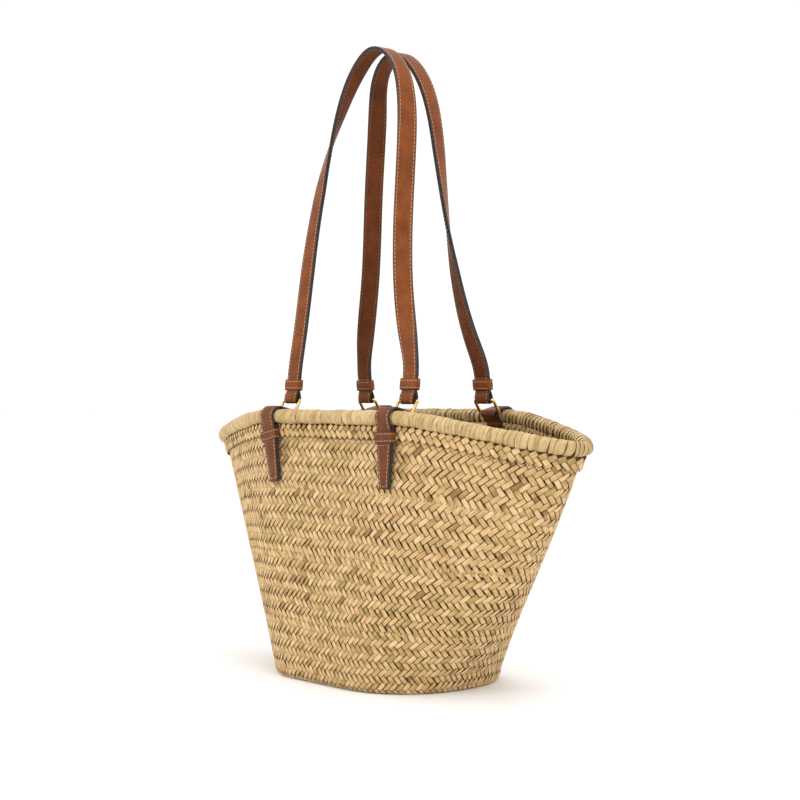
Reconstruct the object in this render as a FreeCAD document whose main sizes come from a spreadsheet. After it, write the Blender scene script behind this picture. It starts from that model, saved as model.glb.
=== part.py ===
import FreeCAD, Part
import math
import os

os.makedirs("parts", exist_ok=True)

# A woven palm beach bag: an open boat-shaped basket, a leaf-wrapped rim, four leather anchors that
# loop over the rim, four wire rings and two long leather straps. Millimetres, +Z up, +X along the
# long axis, front at -Y, origin at the middle of the base on the ground.

DIMENSIONS = [
    ("rim_half_length", 274, "rim roll centre line, middle of the bag to its tip"),
    ("rim_half_width", 78, "rim roll centre line, middle plane to the straight front stretch"),
    ("rim_middle_height", 273, "height of the roll's centre along the straight stretch"),
    ("rim_tip_height", 245, "height of the roll's centre at the tips"),
    ("rim_straight_half", 104, "half of the straight, level stretch of the rim"),
    ("rim_shoulder", 36, "how far the curve towards the tip leaves the straight stretch flat"),
    ("rim_tip_reach", 34, "how broad the rounded tip is"),
    ("roll_radius", 8, "outside of the wrapped roll"),
    ("core_radius", 4.8, "bundle of fibre inside the roll"),
    ("base_half_length", 126.8, "base outline along X"),
    ("base_half_width", 96, "base outline along Y"),
    ("base_straight_half", 40, "half of the base outline's straight stretch"),
    ("base_shoulder", 52, "how far the base's corner curve stays flat"),
    ("base_end_reach", 55, "how broad the base's rounded end is"),
    ("corner_height", 12, "height at which the wall has left the base's rounded edge"),
    ("corner_inset", 9, "how far the base's flat underside stays inside the outline"),
    ("corner_waist_height", 3.5, "height of the outline halfway round the base's rounded edge"),
    ("corner_waist_inset", 3.06, "how far that outline stays inside"),
    ("bulge_along", 0.035, "how far the middle of the wall swells along X, as a fraction"),
    ("bulge_across", 0.05, "how far the middle of the wall swells along Y, as a fraction"),
    ("wall_thickness", 4, "woven wall, both layers of leaf"),
    ("wall_setback", 3, "outer face of the wall, inside the roll's centre line"),
    ("roll_gap", 0.2, "between the wall's top edge and the roll"),
    ("hem_gap", 0.3, "between the wall and the hem on it"),
    ("hem_thickness", 2.6, "folded hem that lies on the wall below the roll"),
    ("hem_height", 12.5, "how far the hem reaches down the wall"),
    ("anchor_spacing", 186, "between the middles of the two anchors on one side"),
    ("strap_width", 20, "every leather strip"),
    ("anchor_thickness", 2.4, "leather of the anchors"),
    ("anchor_blank_width", 64, "anchor leather before it is cut to shape"),
    ("anchor_drop", 70, "tip of the anchor below the roll's centre"),
    ("anchor_tip_width", 13, "blunt tip of the anchor"),
    ("taper_start", 27, "where the anchor starts to narrow, below the roll's centre"),
    ("lean_start", 12, "where a leaning anchor leaves the upright, below the roll's centre"),
    ("slot_drop", 10.2, "slot that the anchor passes through, below the roll's centre"),
    ("ring_wire_radius", 1.6, "wire of the rings"),
    ("ring_pitch", 17, "between the centres of a ring's two bars"),
    ("ring_bar_straight", 21.4, "straight part of a bar, a little wider than the leather"),
    ("ring_corner_radius", 3, "centre line of the ring's corners"),
    ("ring_tilt", 33, "how far a ring at rest leans inwards from upright, degrees"),
    ("ring_inboard", 16, "lower bar, inside the roll's centre line"),
    ("ring_rise", 3, "lower bar, above the roll's centre"),
    ("bar_clearance", 0.35, "between a bar and the leather looped round it"),
    ("layer_thickness", 2, "each of the two layers of a strap"),
    ("layer_gap", 0.1, "between two layers of leather that lie on each other"),
    ("strap_lean", 6.4, "how far a strap leans inwards from upright, degrees"),
    ("strap_end_length", 24, "from the ring's upper bar to where the lining starts"),
    ("keeper_thickness", 1.5, "leather of the keepers"),
    ("keeper_height", 11.5, "height of the keepers"),
    ("keeper_play", 0.25, "between a keeper and the leather in it"),
    ("anchor_keeper_drop", 19, "middle of an anchor's keeper below the roll's centre"),
    ("strap_keeper_rise", 16, "middle of a strap's keeper above the ring's upper bar"),
]

document = FreeCAD.newDocument("BeachBag")
sheet = document.addObject("Spreadsheet::Sheet", "Sizes")
for row, (alias, value, meaning) in enumerate(DIMENSIONS, start=1):
    sheet.set(f"A{row}", meaning)
    sheet.set(f"B{row}", str(value))
    sheet.setAlias(f"B{row}", alias)
document.recompute()


def size(alias):
    """A driving dimension, read from the sheet."""
    return float(sheet.get(alias))


def vec(x, y, z=0.0):
    return FreeCAD.Vector(x, y, z)


FRONT, BACK = -1, 1
LEFT, RIGHT = -1, 1
SIDES = {"front": FRONT, "back": BACK}
ENDS = {"left": LEFT, "right": RIGHT}
WALL_LEVELS = [0, 0.2, 0.4, 0.6, 0.8, 1]
LOFT_DEGREE = 3
# how far each hanging tail leans to the right, seen from outside the bag, degrees
ANCHOR_LEANS = {(FRONT, LEFT): 13, (FRONT, RIGHT): 2, (BACK, LEFT): 0, (BACK, RIGHT): 0}
STRAP_SECTIONS = 36
subparts = []


# ---------------------------------------------------------------- helpers

def keep_shape(name, shape):
    """Puts a finished shape in the document as a sub-part."""
    feature = document.addObject("Part::Feature", name)
    feature.Shape = shape
    feature.Label = name
    subparts.append(feature)
    return feature


def new_body(name):
    body = document.addObject("PartDesign::Body", name)
    body.Label = name
    subparts.append(body)
    return body


def new_sketch(body, name, role):
    """A sketch on one of the body's own origin planes."""
    sketch = body.newObject("Sketcher::SketchObject", name)
    plane = [item for item in body.Origin.OriginFeatures if item.Role == role][0]
    sketch.AttachmentSupport = (plane, [""])
    sketch.MapMode = "FlatFace"
    return sketch


def pad(body, name, sketch, length_alias, both_ways=False):
    feature = body.newObject("PartDesign::Pad", name)
    feature.Profile = sketch
    if both_ways:
        feature.SideType = "Symmetric"
    feature.setExpression("Length", f"Sizes.{length_alias}")
    return feature


def seat(side, end, outward, height, tilt=0.0):
    """Placement beside an anchor: local -Y points out of the bag, local +Z leans inwards by tilt."""
    turn = FreeCAD.Rotation(vec(0, 0, 1), 0 if side == FRONT else 180)
    lean = FreeCAD.Rotation(vec(1, 0, 0), -tilt)
    across = size("rim_half_width") + outward
    middle = vec(end * size("anchor_spacing") / 2, side * across, height)
    return FreeCAD.Placement(middle, turn.multiply(lean))


def strip_edges(points, radii, thickness):
    """Outline of a bent strip: straight runs along points, with an arc of the given radius at each
    inner point. Points are (outward, up); the sketch's first axis points inwards."""
    corners = [vec(-out, up) for out, up in points]
    sides = {+1: [], -1: []}
    for hand in sides:
        start = None
        for index in range(len(corners)):
            if 0 < index < len(corners) - 1:
                into = (corners[index] - corners[index - 1]).normalize()
                away = (corners[index + 1] - corners[index]).normalize()
                turn = into.getAngle(away)
                bend = 1 if into.cross(away).z > 0 else -1
                radius = radii[index - 1]
                reach = radius * math.tan(turn / 2)
                normal = vec(-into.y, into.x) * bend
                centre = corners[index] - into * reach + normal * radius
                offset = radius - bend * hand * thickness / 2
                first = centre - normal * offset
                half = FreeCAD.Rotation(vec(0, 0, 1), math.degrees(bend * turn / 2))
                middle = centre - half.multVec(normal) * offset
                last = centre - half.multVec(half.multVec(normal)) * offset
                if start.distanceToPoint(first) > 0.001:
                    sides[hand].append(Part.LineSegment(start, first))
                sides[hand].append(Part.Arc(first, middle, last))
                start = last
            else:
                near = corners[1] - corners[0] if index == 0 else corners[-1] - corners[-2]
                near.normalize()
                point = corners[index] + vec(-near.y, near.x) * hand * thickness / 2
                if index:
                    sides[hand].append(Part.LineSegment(start, point))
                start = point
    caps = []
    for pick in (0, -1):
        ends = []
        for hand in sides:
            piece = sides[hand][pick]
            ends.append(piece.StartPoint if pick == 0 else piece.EndPoint)
        caps.append(Part.LineSegment(ends[0], ends[1]))
    return sides[+1] + sides[-1] + caps


def tangent_corner(centre, radius, entry_angle, exit_angle):
    """Corner point whose arc of that radius is centred on centre; angles in degrees."""
    middle = math.radians((entry_angle + exit_angle) / 2)
    spread = math.radians(abs(entry_angle - exit_angle) / 2)
    reach = radius / math.cos(spread)
    return (centre[0] + reach * math.cos(middle), centre[1] + reach * math.sin(middle))


# ---------------------------------------------------------------- basket outlines

def quarter_poles(half_length, half_width, straight, shoulder, reach, heights):
    """The outline's front-right quarter, as the poles of one cubic curve."""
    middle_height, tip_height = heights
    return [
        vec(straight, half_width, middle_height),
        vec(straight + shoulder, half_width, middle_height),
        vec(half_length, reach, tip_height),
        vec(half_length, 0, tip_height),
    ]


def rim_poles(inset, drop=0.0):
    return quarter_poles(
        size("rim_half_length") - inset,
        size("rim_half_width") - inset,
        size("rim_straight_half"),
        size("rim_shoulder"),
        size("rim_tip_reach"),
        (size("rim_middle_height") - drop, size("rim_tip_height") - drop),
    )


def base_poles(inset, height):
    return quarter_poles(
        size("base_half_length") - inset,
        size("base_half_width") - inset,
        size("base_straight_half"),
        size("base_shoulder"),
        size("base_end_reach"),
        (height, height),
    )


def closed_outline(poles):
    """Two straight stretches and four mirrored quarter curves, from the front left corner round."""
    def curve(flip_x, flip_y, backwards):
        placed = [vec(p.x * flip_x, p.y * flip_y, p.z) for p in poles]
        if backwards:
            placed.reverse()
        bezier = Part.BezierCurve()
        bezier.setPoles(placed)
        return bezier.toShape()

    start = poles[0]
    front = Part.makeLine(vec(-start.x, -start.y, start.z), vec(start.x, -start.y, start.z))
    back = Part.makeLine(vec(start.x, start.y, start.z), vec(-start.x, start.y, start.z))
    edges = [front, curve(1, -1, False), curve(1, 1, True)]
    edges += [back, curve(-1, 1, False), curve(-1, -1, True)]
    return Part.Wire(edges)


def wall_poles(level, inset):
    """Outline of the wall's outer face at level 0 (above the base's edge) to 1 (under the roll)."""
    low = base_poles(inset, size("corner_height"))
    high = rim_poles(size("wall_setback") + inset, size("roll_radius") + size("roll_gap"))
    swell = math.sin(math.pi * level)
    wide = 1 + size("bulge_along") * swell
    deep = 1 + size("bulge_across") * swell
    mixed = [a + (b - a) * level for a, b in zip(low, high)]
    return [vec(p.x * wide, p.y * deep, p.z) for p in mixed]


def closed_solid(faces):
    """Solid bounded by faces that meet along shared edges."""
    sewing_tolerance = 0.01
    shell = Part.Shell(faces)
    shell.sewShape(sewing_tolerance)
    solid = Part.Solid(shell)
    if solid.Volume < 0:
        solid.reverse()
    return solid


def ring_solid(outer_wires, inner_wires, smooth):
    """Closed band between two stacks of outlines."""
    faces = []
    for wires in (outer_wires, inner_wires):
        faces += Part.makeLoft(wires, False, not smooth, False, LOFT_DEGREE).Faces
    for level in (0, -1):
        faces += Part.makeRuledSurface(outer_wires[level], inner_wires[level]).Faces
    return closed_solid(faces)


def cut_notches(solid):
    for notch in anchor_notches():
        solid = solid.cut(notch).Solids[0]
    return solid


def anchor_notches():
    """Room in the wall and hem for the four anchors, just under the roll."""
    play_beside = 0.4
    play_below = 1.6
    half_width = size("strap_width") / 2 + play_beside
    slot_bottom = size("rim_middle_height") - size("slot_drop") - size("anchor_thickness") / 2
    low = slot_bottom - play_below
    top = size("rim_middle_height")
    depth = 30
    boxes = []
    for side in SIDES.values():
        for end in ENDS.values():
            corner_x = end * size("anchor_spacing") / 2 - half_width
            corner_y = side * size("rim_half_width") - depth / 2
            box = Part.makeBox(2 * half_width, depth, top - low, vec(corner_x, corner_y, low))
            boxes.append(box)
    return boxes


# ---------------------------------------------------------------- woven basket

def make_base():
    body = new_body("base_weave")
    outline = new_sketch(body, "base_outline", "XY_Plane")
    inset = size("corner_inset") + size("wall_thickness")
    for edge in closed_outline(base_poles(inset, 0)).Edges:
        if isinstance(edge.Curve, Part.BezierCurve):
            outline.addGeometry(edge.Curve.toBSpline(), False)
        else:
            ends = [vertex.Point for vertex in edge.Vertexes]
            outline.addGeometry(Part.LineSegment(ends[0], ends[1]), False)
    pad(body, "base_plate", outline, "wall_thickness")


def wall_stack(inset):
    """Outlines of one face of the wall, from the ground up."""
    flat = base_poles(size("corner_inset") + inset, 0)
    rounded = base_poles(size("corner_waist_inset") + inset, size("corner_waist_height"))
    rising = [wall_poles(level, inset) for level in WALL_LEVELS]
    return [closed_outline(poles) for poles in [flat, rounded] + rising]


def make_wall():
    solid = ring_solid(wall_stack(0), wall_stack(size("wall_thickness")), True)
    keep_shape("wall_weave", cut_notches(solid))


def make_hem():
    height = size("rim_middle_height") - size("roll_radius") - size("corner_height")
    levels = [1 - size("hem_height") / height, 1]
    gap = size("hem_gap")
    outer = [closed_outline(wall_poles(k, -size("hem_thickness") - gap)) for k in levels]
    inner = [closed_outline(wall_poles(k, -gap)) for k in levels]
    keep_shape("rim_hem", cut_notches(ring_solid(outer, inner, False)))


def rim_pipe(radius):
    """A round bar that follows the rim."""
    path = closed_outline(rim_poles(0))
    start = path.Edges[0].Vertexes[0].Point
    profile = Part.Wire([Part.makeCircle(radius, start, vec(1, 0, 0))])
    return path.makePipeShell([profile], True, True)


def make_roll():
    keep_shape("rim_core", rim_pipe(size("core_radius")))
    sleeve_bore = rim_pipe(size("core_radius") + size("layer_gap"))
    keep_shape("rim_wrap", rim_pipe(size("roll_radius")).cut(sleeve_bore).Solids[0])


# ---------------------------------------------------------------- leather anchors

def lower_bar():
    """Lower bar of a ring, as (outward, up) from the roll's centre."""
    return (-size("ring_inboard"), size("ring_rise"))


def upper_bar():
    tilt = math.radians(size("ring_tilt"))
    out, up = lower_bar()
    return (out - size("ring_pitch") * math.sin(tilt), up + size("ring_pitch") * math.cos(tilt))


def anchor_route():
    """Folded strip: up from the tip behind the front layer, in through the slot, up inside the
    roll, round the ring's lower bar, over the roll and down to the tip again."""
    thick = size("anchor_thickness")
    layer = thick + size("layer_gap")
    bar = lower_bar()
    bar_radius = size("ring_wire_radius") + size("bar_clearance") + thick / 2
    roll_clearance = 0.6
    roll_radius = size("roll_radius") + roll_clearance + thick / 2
    inside = -roll_radius - 0.5
    slot = -size("slot_drop")
    tip = -size("anchor_drop")
    waist = -10.0
    back_at_tip = 6.7
    back_at_slot = 4.6
    front_at_waist = back_at_slot + 0.15 + layer
    knee = (inside, -4.5)
    slot_bend = 2.6
    inner_bend = 3.2
    knee_bend = 3.0
    waist_bend = 8.0

    # angles of the tangent points on the bar and on the roll
    reach = math.hypot(*bar)
    towards_roll = math.atan2(-bar[1], -bar[0])
    over_roll = towards_roll + math.asin((roll_radius - bar_radius) / reach) + math.pi / 2
    to_bar = (bar[0] - knee[0], bar[1] - knee[1])
    under_bar = math.atan2(to_bar[1], to_bar[0]) + math.asin(bar_radius / math.hypot(*to_bar))
    under_bar = under_bar + math.pi / 2
    waist_reach = math.hypot(front_at_waist, waist)
    leaving = math.atan2(waist, front_at_waist) + math.acos(roll_radius / waist_reach)

    over_angle = math.degrees(over_roll)
    under_angle = math.degrees(under_bar)
    points = [
        (back_at_tip, tip),
        (back_at_slot, slot),
        (inside, slot),
        knee,
        tangent_corner(bar, bar_radius, under_angle, over_angle),
        tangent_corner((0, 0), roll_radius, over_angle, math.degrees(leaving)),
        (front_at_waist, waist),
        (back_at_tip + layer, tip),
    ]
    radii = [slot_bend, inner_bend, knee_bend, bar_radius, roll_radius, waist_bend]
    return points, radii


def make_anchor(name, side, end):
    body = new_body(name)
    outline = new_sketch(body, f"{name}_outline", "YZ_Plane")
    points, radii = anchor_route()
    for piece in strip_edges(points, radii, size("anchor_thickness")):
        outline.addGeometry(piece, False)
    pad(body, f"{name}_strip", outline, "anchor_blank_width", both_ways=True)

    trim = new_sketch(body, f"{name}_trim", "XZ_Plane")
    corners = anchor_trim(ANCHOR_LEANS[side, end])
    for first, last in zip(corners, corners[1:] + corners[:1]):
        trim.addGeometry(Part.LineSegment(first, last), False)
    document.recompute()
    cut = body.newObject("PartDesign::Pocket", f"{name}_shape")
    cut.Profile = trim
    cut.SideType = "Symmetric"
    cut.Type = "ThroughAll"
    body.Placement = seat(side, end, 0, size("rim_middle_height"))


def leaning(lean, across, along):
    """Point of a leaning tail, across it and along it from where the lean starts."""
    angle = math.radians(lean)
    x = across * math.cos(angle) + along * math.sin(angle)
    return vec(x, across * math.sin(angle) - along * math.cos(angle) - size("lean_start"))


def anchor_trim(lean):
    """What is cut from the blank: everything outside the upright strip and its leaning tail."""
    wide = size("strap_width") / 2
    narrow = size("anchor_tip_width") / 2
    taper = size("taper_start") - size("lean_start")
    tip = size("anchor_drop") - size("lean_start") - tip_margin(lean)
    above = 25.0
    below = -size("anchor_drop") - 5
    outside = size("anchor_blank_width") / 2 + 5
    mitre = wide * math.tan(math.radians(lean) / 2)
    right = [vec(wide, above), vec(wide, mitre - size("lean_start"))]
    right += [leaning(lean, wide, taper), leaning(lean, narrow, tip)]
    left = [leaning(lean, -narrow, tip), leaning(lean, -wide, taper)]
    left += [vec(-wide, -mitre - size("lean_start")), vec(-wide, above)]
    frame = [vec(-outside, above), vec(-outside, below), vec(outside, below), vec(outside, above)]
    return right + left + frame


def tip_margin(lean):
    """How much of the blank's end is cut off so that a leaning tip stays square."""
    return size("anchor_tip_width") / 2 * math.sin(math.radians(lean)) + 0.5


def rounded_rectangle(sketch, width, depth, radius, middle):
    """Adds a rounded rectangle to a sketch."""
    half_w = width / 2 - radius
    half_d = depth / 2 - radius
    quarter = math.pi / 2
    axis = vec(0, 0, 1)
    for step, (sx, sy) in enumerate([(1, 1), (-1, 1), (-1, -1), (1, -1)]):
        centre = middle + vec(sx * half_w, sy * half_d)
        circle = Part.Circle(centre, axis, radius)
        sketch.addGeometry(Part.ArcOfCircle(circle, step * quarter, (step + 1) * quarter), False)
    for sign in (1, -1):
        ends = [middle + vec(s * half_w, sign * depth / 2) for s in (-1, 1)]
        sketch.addGeometry(Part.LineSegment(ends[0], ends[1]), False)
        ends = [middle + vec(sign * width / 2, s * half_d) for s in (-1, 1)]
        sketch.addGeometry(Part.LineSegment(ends[0], ends[1]), False)


def make_keeper(name, stack_depth, placement):
    """Leather loop round a stack of layers, its axis along local Z."""
    body = new_body(name)
    outline = new_sketch(body, f"{name}_outline", "XY_Plane")
    play = size("keeper_play")
    wall = size("keeper_thickness")
    inner_corner = 0.3
    outer_corner = 1.4
    inner_width = size("strap_width") + 2 * play
    inner_depth = stack_depth + 2 * play
    middle = vec(0, 0)
    rounded_rectangle(outline, inner_width, inner_depth, inner_corner, middle)
    rounded_rectangle(outline, inner_width + 2 * wall, inner_depth + 2 * wall, outer_corner, middle)
    pad(body, f"{name}_loop", outline, "keeper_height", both_ways=True)
    body.Placement = placement


def make_anchor_keeper(name, side, end):
    layer = size("anchor_thickness") + size("layer_gap")
    points, _ = anchor_route()
    tip_out, tip_up = points[0]
    slot_out, slot_up = points[1]
    slope = (tip_out - slot_out) / (slot_up - tip_up)
    lean = ANCHOR_LEANS[side, end]
    # a leaning keeper sits lower, so that its raised corner stays clear of the slot
    lowered = size("strap_width") / 2.6 * math.sin(math.radians(lean))
    middle = leaning(lean, 0, size("anchor_keeper_drop") - size("lean_start") + lowered)
    outward = slot_out + slope * (slot_up - middle.y) + layer / 2
    height = size("rim_middle_height") + middle.y
    stack = 2 * size("anchor_thickness") + size("layer_gap")
    upright = seat(side, end, outward, height, math.degrees(math.atan(slope)))
    turn = FreeCAD.Rotation(vec(0, 1, 0), -lean)
    make_keeper(name, stack, upright.multiply(FreeCAD.Placement(vec(middle.x, 0), turn)))


# ---------------------------------------------------------------- rings

def make_ring(name, side, end):
    body = new_body(name)
    corner = size("ring_corner_radius")
    pitch = size("ring_pitch")
    path = new_sketch(body, f"{name}_path", "XZ_Plane")
    width = size("ring_bar_straight") + 2 * corner
    rounded_rectangle(path, width, pitch, corner, vec(0, pitch / 2))
    wire = new_sketch(body, f"{name}_wire", "YZ_Plane")
    centre = Part.Circle(vec(0, 0), vec(0, 0, 1), size("ring_wire_radius"))
    wire.addGeometry(centre, False)
    document.recompute()
    pipe = body.newObject("PartDesign::AdditivePipe", f"{name}_bar")
    pipe.Profile = wire
    pipe.Spine = (path, [])
    out, up = lower_bar()
    height = size("rim_middle_height") + up
    body.Placement = seat(side, end, out, height, size("ring_tilt"))


# ---------------------------------------------------------------- straps

def strap_line(height):
    """How far from the middle plane a strap's middle layer is at a height."""
    out, up = upper_bar()
    lean = math.tan(math.radians(size("strap_lean")))
    rise = height - size("rim_middle_height") - up
    return size("rim_half_width") + out - rise * lean


# Each strap slumps its own way. Across and up, from the ring to the top of each leg.
STRAP_LEGS = {
    (FRONT, LEFT): [(-90, 360), (-86, 431), (-76, 517), (-66, 560), (-51, 602), (-28, 642)],
    (FRONT, RIGHT): [(85, 352), (71, 405), (62, 475), (58, 546), (49, 609), (31, 643)],
    (BACK, LEFT): [(-87, 355), (-70, 420), (-51, 519), (-42, 562), (-34, 603), (-20, 643)],
    (BACK, RIGHT): [(83, 350), (67, 412), (59, 485), (56, 545), (50, 600), (34, 636)],
}
STRAP_TOPS = {FRONT: (-4, 659), BACK: (4, 656)}

# How far each leg has turned at a height, in degrees: flat against the bag at the ring, and with its
# width across the handle at the top.
STRAP_TWISTS = {
    (FRONT, LEFT): [(430, 0), (517, 13), (560, 34), (603, 66), (642, 90)],
    (FRONT, RIGHT): [(335, 0), (365, 26), (405, 47), (555, 50), (609, 76), (640, 90)],
    (BACK, LEFT): [(335, 0), (365, 26), (405, 47), (580, 50), (611, 74), (640, 90)],
    (BACK, RIGHT): [(335, 0), (384, 11), (426, 24), (467, 45), (509, 61), (551, 75), (610, 86), (640, 90)],
}


def strap_path(side):
    """Middle of a strap, from its left end over the top to its right end, drawn at the front; the
    back one is mirrored afterwards."""
    lean = math.radians(size("strap_lean"))
    end_height = size("rim_middle_height") + upper_bar()[1] + size("strap_end_length") * math.cos(lean)
    half = size("anchor_spacing") / 2
    rising = [(-half, end_height)] + STRAP_LEGS[side, LEFT]
    falling = STRAP_LEGS[side, RIGHT][::-1] + [(half, end_height)]
    points = [vec(x, -strap_line(z), z) for x, z in rising + [STRAP_TOPS[side]] + falling]
    end_pull = 90
    rise = vec(0, math.sin(lean), math.cos(lean)) * end_pull
    curve = Part.BSplineCurve()
    curve.interpolate(Points=points, InitialTangent=rise, FinalTangent=-rise)
    return curve


def strap_turn(side, end, height):
    """How far a leg has turned at a height, in radians."""
    twist = STRAP_TWISTS[side, end]
    if height <= twist[0][0]:
        return 0.0
    for (low, less), (high, more) in zip(twist, twist[1:]):
        if height < high:
            return math.radians(less + (more - less) * (height - low) / (high - low))
    return math.pi / 2


def strap_frames(side):
    """Points along the strap with its width and outward directions."""
    curve = strap_path(side)
    shape = curve.toShape()
    distances = [shape.Length * k / STRAP_SECTIONS for k in range(STRAP_SECTIONS + 1)]
    frames = []
    for parameter in [curve.parameterAtDistance(distance) for distance in distances]:
        point = curve.value(parameter)
        along = curve.tangent(parameter)[0]
        end = RIGHT if along.z < 0 else LEFT
        turn = strap_turn(side, end, point.z)
        wide = vec(end * math.cos(turn), math.sin(turn), 0)
        wide = (wide - along * along.dot(wide)).normalize()
        outward = along.cross(wide).normalize()
        frames.append((point, wide, outward))
    return frames


def face_between(first, second):
    """Ruled face between two curves that share their knots."""
    surface = Part.BSplineSurface()
    surface.buildFromPolesMultsKnots(
        [first.getPoles(), second.getPoles()],
        [2, 2],
        first.getMultiplicities(),
        [0, 1],
        first.getKnots(),
        False,
        False,
        1,
        first.Degree,
    )
    return surface.toShape()


def ribbon(side, near, far):
    """Strip along the strap's path, between two distances from its middle layer: four ruled faces
    between its corner lines, and an end face at each end."""
    half = size("strap_width") / 2
    corners = [[], [], [], []]
    for point, wide, outward in strap_frames(side):
        for line, (hand, offset) in zip(corners, [(1, far), (-1, far), (-1, near), (1, near)]):
            line.append(point + wide * half * hand + outward * offset)
    rails = []
    for line in corners:
        rail = Part.BSplineCurve()
        rail.interpolate(Points=line, Parameters=[float(k) for k in range(len(line))])
        rails.append(rail)
    faces = [face_between(first, second) for first, second in zip(rails, rails[1:] + rails[:1])]
    for pick in (0, -1):
        ends = [line[pick] for line in corners]
        faces.append(Part.Face(Part.makePolygon(ends + ends[:1])))
    return closed_solid(faces)


def strap_end(end):
    """Loop of the outer layer round the ring's upper bar, with its tail sewn up behind."""
    thick = size("layer_thickness")
    centre = thick / 2 + size("layer_gap") / 2
    round_bar = size("ring_wire_radius") + size("bar_clearance") + thick / 2
    top = size("strap_end_length")
    tail_top = top - 0.2
    closed_at = 9.0
    open_at = 3.8
    bend = 4.0
    points = [
        (centre, top),
        (centre, closed_at),
        (round_bar, open_at),
        (round_bar, -round_bar),
        (-round_bar, -round_bar),
        (-round_bar, open_at),
        (-centre, closed_at),
        (-centre, tail_top),
    ]
    radii = [bend, bend, round_bar, round_bar, bend, bend]
    edges = [piece.toShape() for piece in strip_edges(points, radii, thick)]
    flat = Part.Face(Part.Wire(Part.sortEdges(edges)[0]))
    half = size("strap_width") / 2
    # the outline's first axis is +Y and its second +Z, and it is drawn through X = -half
    turn = FreeCAD.Rotation(vec(0, 1, 0), vec(0, 0, 1), vec(1, 0, 0))
    flat.Placement = FreeCAD.Placement(vec(-half, 0, 0), turn)
    solid = flat.extrude(vec(2 * half, 0, 0))
    out, up = upper_bar()
    place = seat(FRONT, end, out, size("rim_middle_height") + up, size("strap_lean"))
    solid.Placement = place.multiply(solid.Placement)
    return solid


def make_straps():
    gap = size("layer_gap") / 2
    thick = size("layer_thickness")
    for word, side in SIDES.items():
        outer = ribbon(side, gap, gap + thick).fuse([strap_end(LEFT), strap_end(RIGHT)]).Solids[0]
        lining = ribbon(side, -gap - thick, -gap)
        for layer, shape in (("outer", outer), ("lining", lining)):
            placed = shape if side == FRONT else shape.mirror(vec(0, 0, 0), vec(0, 1, 0))
            keep_shape(f"strap_{word}_{layer}", placed)


def make_strap_keeper(name, side, end):
    out, up = upper_bar()
    lean = math.radians(size("strap_lean"))
    along = size("strap_keeper_rise")
    outward = out - along * math.sin(lean)
    height = size("rim_middle_height") + up + along * math.cos(lean)
    stack = 2 * size("layer_thickness") + size("layer_gap")
    make_keeper(name, stack, seat(side, end, outward, height, size("strap_lean")))


# ---------------------------------------------------------------- build and write

make_base()
make_wall()
make_hem()
make_roll()
for side_word, side_sign in SIDES.items():
    for end_word, end_sign in ENDS.items():
        where = f"{side_word}_{end_word}"
        make_anchor(f"anchor_strap_{where}", side_sign, end_sign)
        make_anchor_keeper(f"anchor_keeper_{where}", side_sign, end_sign)
        make_ring(f"ring_{where}", side_sign, end_sign)
        make_strap_keeper(f"strap_keeper_{where}", side_sign, end_sign)
make_straps()
document.recompute()

for item in document.Objects:
    if "Invalid" in item.State or "Error" in item.State:
        raise RuntimeError(f"{item.Label} did not recompute: {item.State}")
for item in subparts:
    if item.Shape.isNull() or not item.Shape.isValid():
        raise RuntimeError(f"{item.Label} has no valid shape")
    volume = item.Shape.Volume / 1000
    print(f"{item.Label:28s} {len(item.Shape.Solids)} solid  {volume:9.2f} cm3")
    item.Shape.exportStep(f"parts/{item.Label}.step")
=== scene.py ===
import math

import bpy
import numpy as np
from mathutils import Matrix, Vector


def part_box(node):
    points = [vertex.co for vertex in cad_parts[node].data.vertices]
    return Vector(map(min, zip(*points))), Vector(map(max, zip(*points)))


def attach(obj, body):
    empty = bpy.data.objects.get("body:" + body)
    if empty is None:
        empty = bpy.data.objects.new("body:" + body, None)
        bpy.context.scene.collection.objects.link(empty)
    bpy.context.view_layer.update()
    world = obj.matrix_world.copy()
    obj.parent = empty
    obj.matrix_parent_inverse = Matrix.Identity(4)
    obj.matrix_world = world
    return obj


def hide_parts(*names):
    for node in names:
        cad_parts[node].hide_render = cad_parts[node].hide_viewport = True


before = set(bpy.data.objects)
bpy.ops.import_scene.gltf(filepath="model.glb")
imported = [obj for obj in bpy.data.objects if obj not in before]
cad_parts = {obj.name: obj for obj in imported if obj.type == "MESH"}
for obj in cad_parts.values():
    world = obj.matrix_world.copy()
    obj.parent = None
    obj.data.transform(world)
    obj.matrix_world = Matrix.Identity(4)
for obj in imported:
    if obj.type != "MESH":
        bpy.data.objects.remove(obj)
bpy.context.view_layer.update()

# A woven palm bag. Metres. The basket's strands, the wrapped rim, the straps, the leather's rounded
# edges and all the thread are built here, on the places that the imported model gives.

MM = 0.001
rng = np.random.default_rng(20)

# ---------------------------------------------------------------- sizes

ROLL_RADIUS = 8 * MM
CORE_RADIUS = 4.8 * MM
STRAP_WIDTH = 20 * MM
LAYER = 2 * MM
LAYER_GAP = 0.1 * MM
RING_WIRE = 1.6 * MM
BAR_CLEARANCE = 0.35 * MM
STRAP_LEAN = math.radians(6.4)
STRAP_END = 24 * MM

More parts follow.
